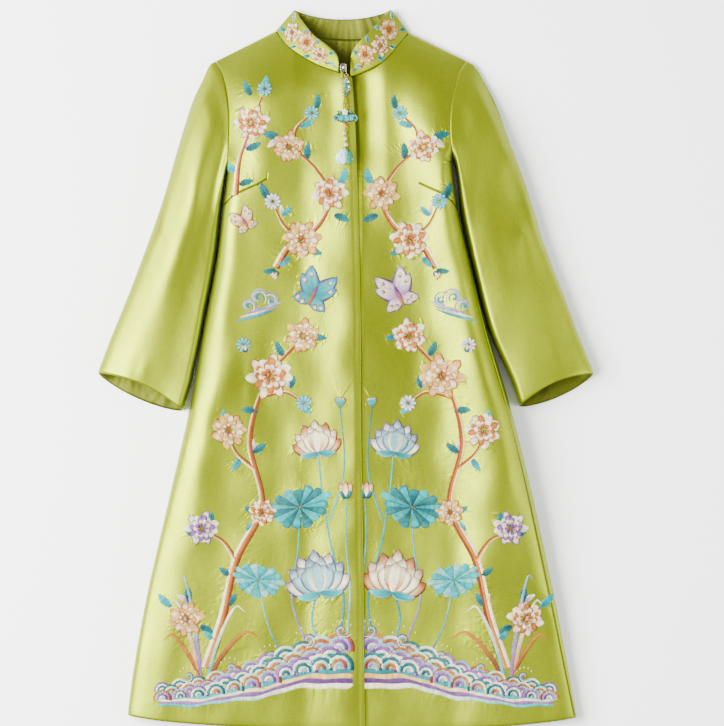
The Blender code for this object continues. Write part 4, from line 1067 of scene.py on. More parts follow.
# %% Stitch helpers
rng = np.random.default_rng(11)
IVORY, CREAM, PEACH = (0.80, 0.73, 0.46), (0.60, 0.36, 0.08), (0.44, 0.15, 0.005)
CORAL, ORANGE, GOLD = (0.13, 0.015, 0), (0.21, 0.038, 0), (0.28, 0.11, 0)
TEAL, TURQUOISE, AQUA, MIST = (0, 0.036, 0.040), (0, 0.14, 0.145), (0, 0.34, 0.35), (0.20, 0.42, 0.40)
LAVENDER, PURPLE = (0.24, 0.10, 0.30), (0.07, 0.012, 0.12)
# Where the left front's embroidery is mirrored, how far down the coat the drawing is moved, and how far
# a thread's root stands off the satin
OPENING, DRAWING_SHIFT, THREAD_LIFT = 15.5, 2.3, 0.12


def drawn(x, y):
    """A place on the drawing, in pixels of the photograph's size, as millimetres on the coat."""
    return np.array(((x - ON_PHOTO[0]) * PIXEL, (ON_PHOTO[1] - y) * PIXEL - DRAWING_SHIFT))


class Threads:
    """Collects the pads of one piece of embroidery, then lays them on a surface, mirrored or not."""

    def __init__(self, surface, mirrored=False):
        self.surface, self.mirrored = surface, mirrored
        self.places, self.lifts, self.faces, self.uvs, self.colours, self.spots = [], [], [], [], [], []
        self.count = 0

    def pad(self, centre, half_width, colours, height=0.55, layer=0, edge=None, slant=None, across=6,
            dome=0.5):
        """centre: n x 2 in mm. colours: start and end. edge: colour of the outline. slant: None for threads
        along the pad, else how far the threads across it lean."""
        centre, half_width = np.asarray(centre, float), np.asarray(half_width, float)
        n = len(centre)
        tangent = np.gradient(centre, axis=0)
        tangent /= np.maximum(np.hypot(tangent[:, 0], tangent[:, 1]), 1e-9)[:, None]
        normal = joined(-tangent[:, 1], tangent[:, 0])
        t = np.sin(np.linspace(-1, 1, across + 1) * math.pi / 2)
        length = np.concatenate(([0], np.cumsum(np.hypot(*np.diff(centre, axis=0).T))))
        place = centre[:, None] + normal[:, None] * (half_width[:, None] * t[None])[..., None]
        full = half_width / max(half_width.max(), 1e-6)
        rise = (height * np.sqrt(np.maximum(0, 1 - t[None] ** 2)) ** (2 * dome)
                * np.minimum(1, full[:, None] * 1.6) ** 0.7)
        lift = rise + 0.32 * layer - np.where(np.abs(t[None]) > 0.99, 0.3, 0)
        s = (length / max(length[-1], 1e-6))[:, None] * np.ones_like(t)[None]
        c0, c1 = (np.array(c) for c in colours)
        shade = mix(c0, c1, smooth(s)[..., None])
        if edge is not None:
            rim = smooth((np.abs(t[None]) - 0.5) / 0.3) + smooth((s - 0.82) / 0.1)
            shade = mix(shade, np.array(edge), np.clip(rim, 0, 1)[..., None])
        # Painted shade: each pad's colour darkens to half at both sides of its centre line, where it meets
        # the cloth.
        sides = 1 - 0.5 * smooth((np.abs(t[None]) - 0.75) / 0.25)
        streaks = 0.5 * (rng.random((n, 1) if slant is not None else (1, across + 1)) - 0.5)
        uneven = 1 + 0.12 * (rng.random() - 0.5) + streaks + 0.2 * (rng.random(s.shape) - 0.5)
        shade = shade * uneven[..., None] * (sides * np.ones_like(s))[..., None]
        if slant is None:
            u, v = half_width[:, None] * t[None], length[:, None] * np.ones_like(t)[None]
        else:
            u, v = (length[:, None] + slant * np.abs(half_width[:, None] * t[None]),
                    half_width[:, None] * t[None])
        grid = np.arange(n * (across + 1)).reshape(n, across + 1) + self.count
        self.faces.append(joined(grid[:-1, :-1], grid[:-1, 1:], grid[1:, 1:], grid[1:, :-1]).reshape(-1, 4))
        self.places.append(place.reshape(-1, 2))
        self.spots.append(np.column_stack((centre, half_width)))
        self.lifts.append(lift.reshape(-1))
        self.uvs.append(joined(u, v).reshape(-1, 2) * MM)
        self.colours.append(np.clip(shade, 0, 1).reshape(-1, 3))
        self.count += n * (across + 1)

    def make(self, name):
        mesh = bpy.data.meshes.new(name)
        places, faces = np.concatenate(self.places), np.concatenate(self.faces)
        if self.mirrored:
            places[:, 0] = 2 * OPENING - places[:, 0]
        points = self.surface(places, np.concatenate(self.lifts)) * MM
        mesh.from_pydata(points.tolist(), [], faces.tolist())
        store_uv(mesh, "thread", np.concatenate(self.uvs))
        colours = np.concatenate(self.colours)
        colours = np.concatenate((colours, np.ones((len(colours), 1))), axis=1)
        attribute = mesh.color_attributes.new(name="thread_colour", type="FLOAT_COLOR", domain="POINT")
        attribute.data.foreach_set("color", colours.astype(np.float32).ravel())
        mesh.shade_smooth()
        mesh.update()
        up = sum(p.normal.z * p.area for p in mesh.polygons)
        if up < 0:
            mesh.flip_normals()
        return show(name, mesh)


EDGE_MARGIN = 1


def outer_edge(side, y):
    """Where a front's side seam or armhole runs, with its roll."""
    low = armhole_ends(side)[0]
    return np.where(y <= low, side_x(side, y) + side * 0.8 * roll_reach(side, y), armhole_x(side, y))


def front_surface(side):
    """Lays points on a front: plan places in mm and how far they stand off the cloth."""

    def lay(place, lift):
        x, y = place[:, 0], place[:, 1]
        x = side * np.minimum(side * x, outer_edge(side, y) * side - EDGE_MARGIN)
        z = full_front_height(side, x, y)
        step = 1.5
        dx = (full_front_height(side, x + step, y) - full_front_height(side, x - step, y)) / (2 * step)
        dy = (full_front_height(side, x, y + step) - full_front_height(side, x, y - step)) / (2 * step)
        dx, dy = np.clip(dx, -1.5, 1.5), np.clip(dy, -1.5, 1.5)
        size = np.sqrt(1 + dx * dx + dy * dy)
        lift = lift + THREAD_LIFT
        return joined(x - dx / size * lift, y - dy / size * lift, z + lift / size)

    return lay


def full_front_height(side, x, y):
    """The front's height anywhere, its rolled side included."""
    reach, edge = roll_reach(side, y), edge_height(y)
    low = armhole_ends(side)[0]
    start = np.where(y <= low, side_x(side, y), armhole_x(side, y))
    angle = np.where(y <= low, 0, np.radians(armhole_angle(side, y)))
    cosine = np.clip(np.cos(angle) - np.abs(x - start) / reach, 0, 1)
    lift = np.sqrt(1 - cosine**2)
    return mix(edge, front_height(side, x, y), side_rise(lift))


print("threads ready")

# %% [markdown]
# ## Motifs
#
# The motifs are old ones that any embroiderer may use: chrysanthemum, aster, lotus, butterfly, cloud
# and sea waves. Each is a small function that lays pads around a centre, so a spray is a few lines
# with a place, a size and a choice of thread.

# %% Petals, leaves and stems
def arc_line(start, angle, length, bend=0, count=9):
    """A curved centre line: it leaves start at an angle, and bends by so many radians along its length."""
    s = np.linspace(0, 1, count)
    heading = angle + bend * s
    step = length / (count - 1)
    moves = joined(np.cos(heading[:-1]), np.sin(heading[:-1])) * step
    return np.array(start) + np.concatenate(([[0, 0]], np.cumsum(moves, axis=0)))


def curve_through(points, count=24):
    x, y = along([tuple(p) for p in points], np.linspace(0, 1, count))
    return joined(x, y)


def petal_widths(count, width, round_tip=0.75, neck=0.18):
    s = np.linspace(0, 1, count)
    return width / 2 * np.maximum(np.sin(math.pi * np.clip(s, 0, 1) ** round_tip) ** 0.62, neck * (1 - s))


def petal(threads, at, angle, length, width, colours, bend=0, layer=0, edge=None, tip=0.75, height=0.6):
    line = arc_line(at, angle, length, bend)
    threads.pad(line, petal_widths(len(line), width, tip), colours, height, layer, edge)


def leaf(threads, at, angle, length, width, colours, bend=0.3, layer=0, edge=None):
    line = arc_line(at, angle, length, bend, 13)
    toothed = petal_widths(13, width, 0.8, 0.1) * np.where(np.arange(13) % 2, 1.1, 0.84)
    threads.pad(line, toothed, colours, 0.5, layer, edge or colours[1], slant=-0.9)
    vein = line[1:-2]
    threads.pad(vein, np.linspace(0.5, 0.25, len(vein)), (colours[0], colours[0]), 0.35, layer + 1.4,
                across=2)


def stem(threads, points, start, end, colours, layer=0, edge=None, count=26, slant=0.6):
    line = curve_through(points, count)
    threads.pad(line, np.linspace(start, end, count) / 2, colours, 0.5, layer, edge, slant=slant, across=4)


KNOT, KNOT_WIDTHS = np.array([(x, 0) for x in (-0.75, -0.4, 0, 0.4, 0.75)]), (0.12, 0.62, 0.78, 0.62, 0.12)
GOLDEN_ANGLE = 2.39996


def knots(threads, centre, radius, number, colour, layer=4):
    """Small round stitches, spread like the seeds of a sunflower."""
    for k in range(number):
        at = np.array(centre) + radius * math.sqrt((k + 0.3) / number) * ray(k * GOLDEN_ANGLE)
        threads.pad(KNOT + at, KNOT_WIDTHS, (colour, colour), 0.8, layer, across=4)


def chrysanthemum(threads, centre, radius, palette, turn=0, squeeze=1, rings=4):
    """Rings of curling petals round a knotted eye, each ring smaller and higher than the last."""
    inner, outer, rim = palette
    centre, radius = np.array(centre), 1.13 * radius
    for ring in range(rings):
        share = 1 - 0.23 * ring
        number = 13 - 2 * ring
        shades = (rim, outer) if ring % 2 == 0 else (rim, inner)
        for k in range(number):
            a = turn + 2 * math.pi * (k + 0.5 * (ring % 2)) / number + 0.09 * math.sin(5 * k + ring)
            length = radius * share * (0.90 + 0.16 * math.sin(3 * k + 2 * ring + 5 * turn)) * 0.86
            start = centre + 0.12 * radius * np.array((math.cos(a), math.sin(a) * squeeze))
            reach = length * math.hypot(math.cos(a), math.sin(a) * squeeze)
            petal(threads, start, math.atan2(math.sin(a) * squeeze, math.cos(a)), reach,
                  radius * 0.44 * share**0.6,
                  shades, bend=0.4 * (1 if k % 2 else -0.6), layer=1 + 1.3 * ring,
                  edge=rim if k % 3 else outer, tip=1.5)
    knots(threads, centre, radius * 0.14, 9, GOLD, 6)


def aster(threads, centre, radius, palette, number=11, turn=0):
    inner, outer, rim = palette
    centre = np.array(centre)
    for k in range(number):
        a = turn + 2 * math.pi * k / number
        start = centre + 0.2 * radius * ray(a)
        petal(threads, start, a, radius * 0.84, radius * 0.46, (inner, outer), 0.12, 1 + (k % 2) * 1.2, rim,
              1)
    knots(threads, centre, radius * 0.24, 9, ORANGE, 3.6)


def bud(threads, at, angle, length, palette):
    inner, outer, rim = palette
    for k, lean in ((0, -0.42), (1, 0.42), (2, 0)):
        petal(threads, at, angle + lean, length, length * 0.44, (inner, outer), -0.5 * lean, 1 + k, rim,
              0.85)
    for lean in (-0.7, 0.7):
        petal(threads, at, angle + lean, length * 0.55, length * 0.3, (TEAL, TURQUOISE), -0.6 * lean, 3.2)


def leaves_on(threads, spots, palette=(TEAL, TURQUOISE), size=26):
    """A list of (x, y, degrees, scale) on the drawing."""
    for k, (x, y, degrees, scale) in enumerate(spots):
        pair = palette if k % 3 else (TURQUOISE, AQUA)
        leaf(threads, drawn(x, y), math.radians(degrees), size * scale, size * 0.46 * scale, pair,
             bend=0.5 if k % 2 else -0.5, layer=0.4, edge=AQUA if k % 3 == 0 else None)
        if k % 4 == 1:
            leaf(threads, drawn(x, y), math.radians(degrees + 55), size * scale * 0.8, size * 0.34 * scale,
                 (LAVENDER, IVORY), 0.4, 0.2)


# %% [markdown]
# ## Lotus, butterfly, cloud and wave
#
# A lotus in side view is a fan of pointed petals. Its leaf is a round of stitched sectors with light
# veins. A cloud is a set of spirals that share a tail, and a wave is bands of thread with curled crests.

# %% Larger motifs
# rows of a lotus: number of petals, how far they spread, their length and width
LOTUS_ROWS = ((7, 1.45, 1, 0.40), (6, 1.12, 0.86, 0.42), (5, 0.62, 0.72, 0.44))
# wings of a butterfly: lean, length, width, layer
WINGS = ((0.62, 1, 0.62, 1), (1.02, 0.82, 0.5, 1.4), (2.2, 0.66, 0.5, 1.2), (2.62, 0.52, 0.36, 1.6))


def lotus(threads, centre, radius, turn, palette, layer=1):
    inner, outer, rim = palette
    centre = np.array(centre)
    for row, (number, spread, size, wide) in enumerate(LOTUS_ROWS):
        order = sorted(range(number), key=lambda k: -abs(k - (number - 1) / 2))
        for n, k in enumerate(order):
            lean = spread * (2 * k / (number - 1) - 1)
            length = radius * size * (1 - 0.12 * abs(lean))
            shades = (outer, inner) if (k + row) % 2 else (inner, outer)
            shades = (shades[0], inner if row else shades[1])
            petal(threads, centre, turn + lean, length, radius * wide, shades, -0.45 * lean,
                  layer + 1.3 * row + 0.25 * n, rim, 1, 0.7)
    for lean in (-1.95, 1.95):
        petal(threads, centre, turn + lean, radius * 0.55, radius * 0.22, (TURQUOISE, AQUA),
              -0.7 * lean / 1.95, layer + 4.6, MIST)


def lotus_leaf(threads, centre, wide, tall, turn, palette=(TEAL, TURQUOISE), rim=AQUA):
    centre = np.array(centre)
    cos, sin = math.cos(turn), math.sin(turn)
    number = 15
    for k in range(number):
        a = 2 * math.pi * (k + 0.5) / number
        wave = 1 + 0.07 * math.sin(3 * a + turn) + 0.05 * math.sin(7 * a)
        end = np.array((wide * math.cos(a), tall * math.sin(a))) * wave
        side = np.array((-wide * math.sin(a), tall * math.cos(a)))
        end = np.array((end[0] * cos - end[1] * sin, end[0] * sin + end[1] * cos))
        side = np.array((side[0] * cos - side[1] * sin, side[0] * sin + side[1] * cos))
        s = np.linspace(0.04, 1, 14)
        across_by = abs(side[0] * end[1] - side[1] * end[0]) / float(np.hypot(*end))
        half = (across_by * s * math.pi / number * 1.02
                * np.sqrt(np.clip(1 - ((s - 0.84) / 0.165) ** 2 * (s > 0.84), 0, 1)))
        shades = (palette[0], palette[1]) if k % 2 else (palette[1], rim)
        threads.pad(centre + end * s[:, None], np.maximum(half, 0.25), shades, 0.6, 0.6 + 0.3 * (k % 2),
                    rim if k % 4 == 0 else palette[1], slant=-0.7)
    knots(threads, centre, wide * 0.08, 5, GOLD, 2.5)


def seed_pod(threads, centre, size, turn):
    line = arc_line(centre, turn, size, 0, 7)
    threads.pad(line, size * np.array((0.1, 0.22, 0.36, 0.48, 0.56, 0.55, 0.42)), (TURQUOISE, AQUA), 0.7,
                1.5, GOLD, slant=0.2)
    top = line[-2]
    side = np.array((-math.sin(turn), math.cos(turn)))
    for k in (-1, 0, 1):
        knots(threads, top + side * size * 0.25 * k, 0.9, 2, IVORY, 4.5)


def butterfly(threads, centre, size, turn, palette):
    inner, outer, rim = palette
    centre = np.array(centre)
    for side in (-1, 1):
        for lean, length, wide, layer in WINGS:
            a = turn + side * lean
            petal(threads, centre, a, size * length, size * wide, (inner, outer), -0.35 * side, layer, rim,
                  0.55, 0.7)
            spot = centre + size * length * 0.66 * ray(a - 0.12 * side)
            petal(threads, spot - 0.08 * size * ray(a), a, size * 0.2, size * 0.15, (ORANGE, IVORY), 0,
                  layer + 2, PURPLE)
        line = arc_line(centre + 0.3 * size * ray(turn), turn + 0.3 * side, size * 0.6, 0.7 * side, 10)
        threads.pad(line, np.full(10, 0.35), (PURPLE, GOLD), 0.4, 2, across=2)
    spine = arc_line(centre - 0.34 * size * ray(turn), turn, size * 0.72, 0, 9)
    threads.pad(spine, petal_widths(9, size * 0.16, 0.9), (GOLD, PURPLE), 1, 3.4, slant=0)


def spiral(threads, centre, radius, turn, turns, band, colours, hand=1, layer=1, tail=0, edge=None):
    """A band that winds in: from a tail of some length to the middle of a curl."""
    count = 34
    s = np.linspace(0, 1, count)
    a = turn + hand * 2 * math.pi * turns * s
    r = radius * (1 - 0.86 * s)
    line = np.array(centre) + joined(np.cos(a), np.sin(a)) * r[:, None]
    if tail > 0:
        heading = np.array((math.sin(turn), -math.cos(turn))) * hand
        t = np.linspace(1, 0, 12)[:-1, None]
        sway = ray(turn) * (0.16 * tail * np.sin(t * math.pi))
        line = np.concatenate((line[0] + heading * tail * t + sway, line))
    widths = np.minimum(np.linspace(0.25, 1.5, len(line)), 1) * band / 2 * np.linspace(1, 0.62, len(line))
    threads.pad(line, widths, colours, 0.6, layer, edge, slant=0.35, across=4)


def cloud(threads, centre, size, turn, palette, hand=1):
    centre = np.array(centre)
    across = ray(turn)
    up = np.array((-across[1], across[0]))
    for k, (along_by, up_by, scale) in enumerate(((-0.62, 0, 0.52), (0, 0.34, 0.66), (0.62, 0.04, 0.5))):
        at = centre + across * size * along_by + up * size * up_by
        way = hand if k < 2 else -hand
        for band, (share, shades) in enumerate(((1, palette[0]), (0.70, palette[1]), (0.42, palette[2]))):
            spiral(threads, at, size * scale * share, turn - math.pi / 2 * way + 0.5, 0.95, size * 0.15,
                   shades, way, 1 + band, 0)
    for k in range(3):
        low = centre - up * size * (0.34 + 0.15 * k)
        line = curve_through((low - across * size * (0.9 + 0.3 * k), low + up * size * 0.06,
                              low + across * size * (1.25 - 0.2 * k) + up * size * 0.2), 18)
        threads.pad(line, petal_widths(18, size * 0.15, 0.9, 0.05), palette[k % 3], 0.5, 0.8, slant=0.4,
                    across=4)


def scallop(threads, centre, radius, shades, layer, lean=0):
    """Concentric arcs, the old pattern for a wave."""
    rings = len(shades)
    for k, pair in enumerate(shades):
        r = radius * (1 - (k + 0.5) / (rings + 0.6))
        a = np.radians(np.linspace(-12, 192, 21)) + lean
        line = np.array(centre) + joined(np.cos(a), np.sin(a)) * r
        threads.pad(line, np.full(21, radius / (rings + 0.6) * 0.53), pair, 0.55, layer + 0.25 * k,
                    slant=0.5, across=4)
    knots(threads, centre, radius * 0.12, 3, IVORY, layer + 1.5)


def sea(threads, points, depths, bands, crests):
    """Rows of scallops below a shore line, over bands of thread, with curled crests on top."""
    count = 72
    shore = curve_through([drawn(*p) for p in points], count)
    s = np.linspace(0, 1, count)
    depth = mix(depths[0], depths[1], s)
    for k, shades in enumerate(bands):
        sway = 1.6 * np.sin(s * 17 + 0.5 * k) + np.sin(s * 39 + 1.1 * k)
        line = shore + joined(np.zeros(count), sway - depth * (0.5 + 0.5 * k / len(bands)))
        half = depth / len(bands) * 0.34 * np.minimum(1, np.sin(math.pi * s) * 9 + 0.3)
        threads.pad(line, half, shades, 0.5, 0.5 + 0.12 * k, slant=0.5, across=5)
    colours = ((PURPLE, LAVENDER), (MIST, IVORY), (TEAL, TURQUOISE), (AQUA, IVORY), (CORAL, PEACH),
               (LAVENDER, MIST))
    for row in range(3):
        number = 11
        for k in range(number):
            share = (k + 0.5 * (row % 2) + 0.25) / number
            if share > 0.97:
                continue
            x, y = (float(np.interp(share, s, shore[:, i])) for i in range(2))
            deep = float(np.interp(share, s, depth))
            radius = 0.26 * deep + 5 + 1.5 * math.sin(2.2 * k + row)
            picked = [colours[(k + 2 * row + ring) % 6] for ring in range(4)]
            scallop(threads, (x, y - deep * 0.2 * row - 0.35 * radius), radius, picked, 1.2 + 1 * row,
                    0.1 * math.sin(k))
    for x, y, size, hand in crests:
        at = drawn(x, y)
        for band, shades in enumerate(((LAVENDER, PURPLE), (IVORY, MIST), (TURQUOISE, AQUA),
                                       (ORANGE, PEACH))):
            share = 1 - 0.23 * band
            turn = math.radians(250 if hand > 0 else -70)
            spiral(threads, at, size * share, turn, 0.9, size * 0.22, shades, hand, 1 + band * 0.5,
                   size * (1.1 - 0.2 * band))
        for k in range(5):
            a = math.radians(90 - 28 * hand * (k - 2))
            knots(threads, at + (size * 1.25) * ray(a), 1.1, 3, IVORY, 1.5)


def reed(threads, points, width, colours, layer=0.8):
    line = curve_through([drawn(*p) for p in points], 22)
    threads.pad(line, petal_widths(22, width, 0.72, 0.12), colours, 0.55, layer, None, slant=-1.2)


print("motifs ready")

# %% [markdown]
# ## The fronts' embroidery
#
# The two fronts face each other, as on many old coats: what grows on one grows mirrored on the other,
# in other threads. From the hem up there are sea waves, a lotus pond, a chrysanthemum vine and a
# butterfly, and a spray at the chest. Places are read off a drawing as large as the photograph, drawn
# for the right front.

# %% Front embroidery
WARM, ROSY = (IVORY, CREAM, ORANGE), (PEACH, IVORY, ORANGE)
BLUSH, PALE = (IVORY, PEACH, CORAL), (MIST, IVORY, PURPLE)
COOL, MILKY, VIOLET = (AQUA, MIST, TURQUOISE), (MIST, IVORY, LAVENDER), (LAVENDER, IVORY, PURPLE)
CLOUD_THREADS = ((LAVENDER, MIST), (IVORY, LAVENDER), (AQUA, TURQUOISE))
SEA_THREADS = ((LAVENDER, MIST), (AQUA, TURQUOISE), (IVORY, CREAM), (LAVENDER, PURPLE), (AQUA, IVORY))


def vine(threads, spots, start, end, count=46):
    """Three strands side by side: a light one, a warm one and a shaded one."""
    line = curve_through([drawn(*p) for p in spots], count)
    tangent = np.gradient(line, axis=0)
    tangent /= np.hypot(tangent[:, 0], tangent[:, 1])[:, None]
    normal = joined(-tangent[:, 1], tangent[:, 0])
    width = np.linspace(start, end, count) * (1.8 + 0.16 * np.sin(np.linspace(0, count / 2.2, count)))
    for k, shades in ((-1, (CORAL, ORANGE)), (1, (IVORY, CREAM)), (0, (PEACH, ORANGE))):
        threads.pad(line + normal * (k * width / 3)[:, None], width * 0.27, shades, 0.55,
                    0.3 + 0.4 * (k == 0), slant=0.5, across=4)


def set_out(threads, rows):
    """Each row is a motif, its place on the drawing, and what else it takes."""
    for motif, x, y, *rest in rows:
        motif(threads, drawn(x, y), *rest)


def pond(threads, flowers):
    first, second, third = flowers
    for points, start, end, shades in (
        (((336, 650), (344, 600), (330, 540), (322, 490), (318, 446)), 4.4, 2.4, (TURQUOISE, AQUA)),
        (((322, 650), (312, 620), (318, 590), (321, 572)), 4, 2.8, (AQUA, TURQUOISE)),
        (((310, 652), (292, 600), (298, 550), (300, 510)), 3.6, 2.2, (LAVENDER, AQUA)),
        (((286, 660), (270, 630), (262, 600), (262, 580)), 3.4, 2.2, (TURQUOISE, MIST)),
        (((346, 648), (350, 590), (346, 540), (347, 492)), 3.2, 2, (MIST, AQUA)),
        (((330, 520), (344, 470), (340, 404)), 2.8, 1.8, (AQUA, TURQUOISE)),
    ):
        stem(threads, [drawn(*p) for p in points], start, end, shades, 0.1, count=30)
    set_out(threads, (
        (lotus_leaf, 300, 507, 48, 31, math.radians(16)),
        (lotus_leaf, 258, 580, 40, 25, math.radians(-14), (TURQUOISE, AQUA), MIST),
        (lotus, 318, 452, 52, math.radians(97), first),
        (lotus, 320, 592, 68, math.radians(99), second),
        (bud, 346, 498, math.radians(92), 27, third),
        (seed_pod, 340, 408, 17, math.radians(86)),
    ))


def garland(threads, flowers):
    first, second, third, small = flowers
    vine(threads, ((206, 668), (222, 620), (236, 560), (262, 505), (250, 440), (268, 378), (300, 340)), 7.5,
         2.4)
    vine(threads, ((236, 560), (222, 540), (204, 532)), 3.6, 2, 14)
    vine(threads, ((256, 470), (236, 452), (228, 430)), 3.4, 1.8, 14)
    vine(threads, ((262, 396), (286, 392), (302, 402)), 3.2, 1.8, 14)
    leaves_on(threads,
              ((216, 640, 150, 1), (226, 606, 40, 1), (232, 575, 160, 0.9), (246, 530, 30, 1),
               (258, 512, 170, 0.9),
                        (252, 452, 20, 1), (240, 458, 250, 0.9), (258, 412, 160, 1), (284, 356, 130, 1),
                        (300, 404, -50, 0.9),
                        (196, 536, 150, 0.9), (208, 526, 60, 0.9), (226, 424, 110, 0.9), (290, 388, 60, 0.8),
                        (312, 338, 10, 0.9)))
    set_out(threads, (
        (chrysanthemum, 202, 528, 25, third, 0.4),
        (chrysanthemum, 229, 430, 27, first, 0.1),
        (chrysanthemum, 270, 376, 33, second, 0.5),
        (chrysanthemum, 303, 336, 26, first, 0.9),
        (chrysanthemum, 262, 512, 21, second, 0.2),
        (aster, 304, 403, 13, small, 10),
        (aster, 244, 345, 12, small, 10, 0.5),
        (bud, 246, 352, math.radians(100), 14, first),
        (chrysanthemum, 186, 618, 27, first, 0.7),
    ))
    leaves_on(threads, ((172, 606, 150, 1.1), (188, 602, 80, 1), (200, 626, -20, 1)))


def chest_spray(threads, flowers):
    first, second, third, small = flowers
    vine(threads, ((276, 268), (290, 246), (318, 226), (330, 198), (316, 170), (294, 150)), 5.4, 2)
    vine(threads, ((294, 150), (296, 130), (310, 116)), 2.8, 1.6, 12)
    vine(threads, ((300, 240), (284, 226), (274, 206)), 3.2, 1.6, 12)
    leaves_on(threads,
              ((290, 258, 220, 1.1), (306, 246, -40, 1.1), (334, 216, -10, 1), (340, 186, 60, 1.1),
               (308, 160, 100, 1),
                        (280, 140, 150, 1.1), (300, 128, 30, 0.9), (316, 110, 70, 0.9), (270, 200, 130, 1.1),
                        (282, 216, 30, 0.8), (276, 270, 200, 0.8)))
    set_out(threads, (
        (chrysanthemum, 302, 240, 29, first, 0.2),
        (chrysanthemum, 330, 194, 26, second, 0.6),
        (chrysanthemum, 289, 148, 24, first, 0.9),
        (aster, 312, 114, 12, small, 10),
        (aster, 273, 202, 13, third, 11),
        (bud, 278, 272, math.radians(230), 14, second),
    ))


def reeds(threads, tips, base):
    shades = ((PEACH, IVORY), (LAVENDER, MIST), (ORANGE, PEACH), (AQUA, IVORY), (CORAL, PEACH),
              (MIST, LAVENDER))
    for k, (tip_x, tip_y, lean) in enumerate(tips):
        root = (base[0] + 2 * k, base[1])
        middle = ((root[0] + tip_x) / 2 - lean * 0.4, (root[1] + tip_y) / 2)
        reed(threads, (root, middle, (tip_x, tip_y), (tip_x + lean * 0.9, tip_y + 7)), 7, shades[k % 6])


def waves(threads):
    sea(threads, ((158, 688), (205, 680), (250, 668), (300, 650), (353, 640)), (30, 76), SEA_THREADS,
        ((188, 676, 11, 1), (230, 668, 13, 1), (270, 656, 14, 1), (308, 640, 17, 1), (342, 630, 13, -1)))


def pucker(cloth, threads):
    """Stitches draw the satin in: stores how strongly at each point, and where each small crease starts."""
    spots = np.concatenate(threads.spots)
    if threads.mirrored:
        spots[:, 0] = 2 * OPENING - spots[:, 0]
    tree = KDTree(len(spots))
    for k, (x, y, _) in enumerate(spots):
        tree.insert((x, y, 0), k)
    tree.balance()
    # the middles of the motifs, from the spots that fall in each square of a net
    squares = {}
    for x, y in spots[:, :2]:
        squares.setdefault((int(x // 24), int(y // 24)), []).append((x, y))
    middles = KDTree(len(squares))
    for k, members in enumerate(squares.values()):
        middles.insert((*np.mean(members, axis=0), 0), k)
    middles.balance()
    count = len(cloth.data.vertices)
    points = np.empty(count * 3, dtype=np.float32)
    cloth.data.vertices.foreach_get("co", points)
    points = points.reshape(-1, 3) / MM
    roots, amounts = np.zeros((count, 3), dtype=np.float32), np.zeros(count, dtype=np.float32)
    for i in range(count // 2):
        here = (points[i, 0], points[i, 1], 0)
        _, k, apart = tree.find(here)
        outside = apart - spots[k, 2]
        if outside < 40:
            near = middles.find_n(here, 4)
            shares = [1 / (reach + 2) ** 3 for _, _, reach in near]
            middle = sum(np.array(at[:2]) * share for (at, _, _), share in zip(near, shares)) / sum(shares)
            away = points[i, :2] - middle
            roots[i, :2] = (middle + 11 * away / max(float(np.hypot(*away)), 0.5)) * MM
            amounts[i] = math.exp(-max(outside, 0) / 12) * min(1, (spots[k, 2] / 2.6) ** 2)
    store(cloth.data, "pucker_root", "FLOAT_VECTOR", "vector", roots)
    store(cloth.data, "pucker", "FLOAT", "value", amounts)


fronts_embroidery = []
for side, name, warm, rosy in ((-1, "right_front", WARM, ROSY), (1, "left_front", ROSY, WARM)):
    threads = Threads(front_surface(side), mirrored=side > 0)
    waves(threads)
    reeds(threads, ((176, 600, -10), (184, 574, -6), (172, 634, -10), (236, 606, 12), (246, 632, 18)),
          (200, 686))
    pond(threads, (BLUSH, PALE, warm) if side < 0 else (PALE, BLUSH, rosy))
    garland(threads, (warm, rosy, VIOLET, COOL if side < 0 else MILKY))
    chest_spray(threads, (warm, rosy, MILKY if side < 0 else COOL, COOL))
    set_out(threads, (
        (butterfly, 313, 296, 48, math.radians(64), (TURQUOISE, AQUA, PURPLE) if side < 0 else VIOLET),
        (cloud, 260, 304, 29, math.radians(12), CLOUD_THREADS),
    ))
    if side < 0:
        vine(threads, ((236, 196), (240, 160), (252, 128), (262, 98)), 4.4, 1.8, 24)
        leaves_on(threads,
                  ((238, 172, 160, 1.1), (246, 150, 10, 1), (240, 186, 30, 0.9), (262, 92, 60, 1),
                   (252, 96, 130, 1)))
        set_out(threads, (
            (chrysanthemum, 252, 124, 26, rosy, 0.3),
            (aster, 265, 90, 12, COOL, 10),
            (butterfly, 246, 224, 30, math.radians(120), (PEACH, IVORY, CORAL)),
        ))
    piece = threads.make(f"embroidery_{name}")
    pucker(front_right if side < 0 else front_left, threads)
    fronts_embroidery.append(piece)
    print(name, len(piece.data.polygons), "faces", piece.dimensions[:])

# %% [markdown]
# ## The collar's embroidery
#
# The collar's two front halves carry small flowers on a running stem. The drawing is bent along the
# band: across it is the way round the neck, and up it is the way from the seam to the top edge.

# %% Collar embroidery
def collar_surface(side):
    """Plan places are (mm along the collar from its front end, mm up from the neck seam)."""

    def lay(place, lift):
        share, k = place[:, 0] / line_length(NECKLINES[side]), place[:, 1] / COLLAR_HEIGHT

        def at(a, b):
            return joined(*collar_front_point(side, np.clip(a, 0.002, 0.985), np.clip(b, 0.02, 0.98))[:3])

        here = at(share, k)
        run = at(share + 0.01, k) - at(share - 0.01, k)
        rise = at(share, k + 0.02) - at(share, k - 0.02)
        normal = np.cross(run, rise) * (-side)
        normal *= np.sign(normal[:, 2])[:, None]
        normal /= np.maximum(np.linalg.norm(normal, axis=1), 1e-9)[:, None]
        return here + normal * (lift + THREAD_LIFT)[:, None]

    return lay


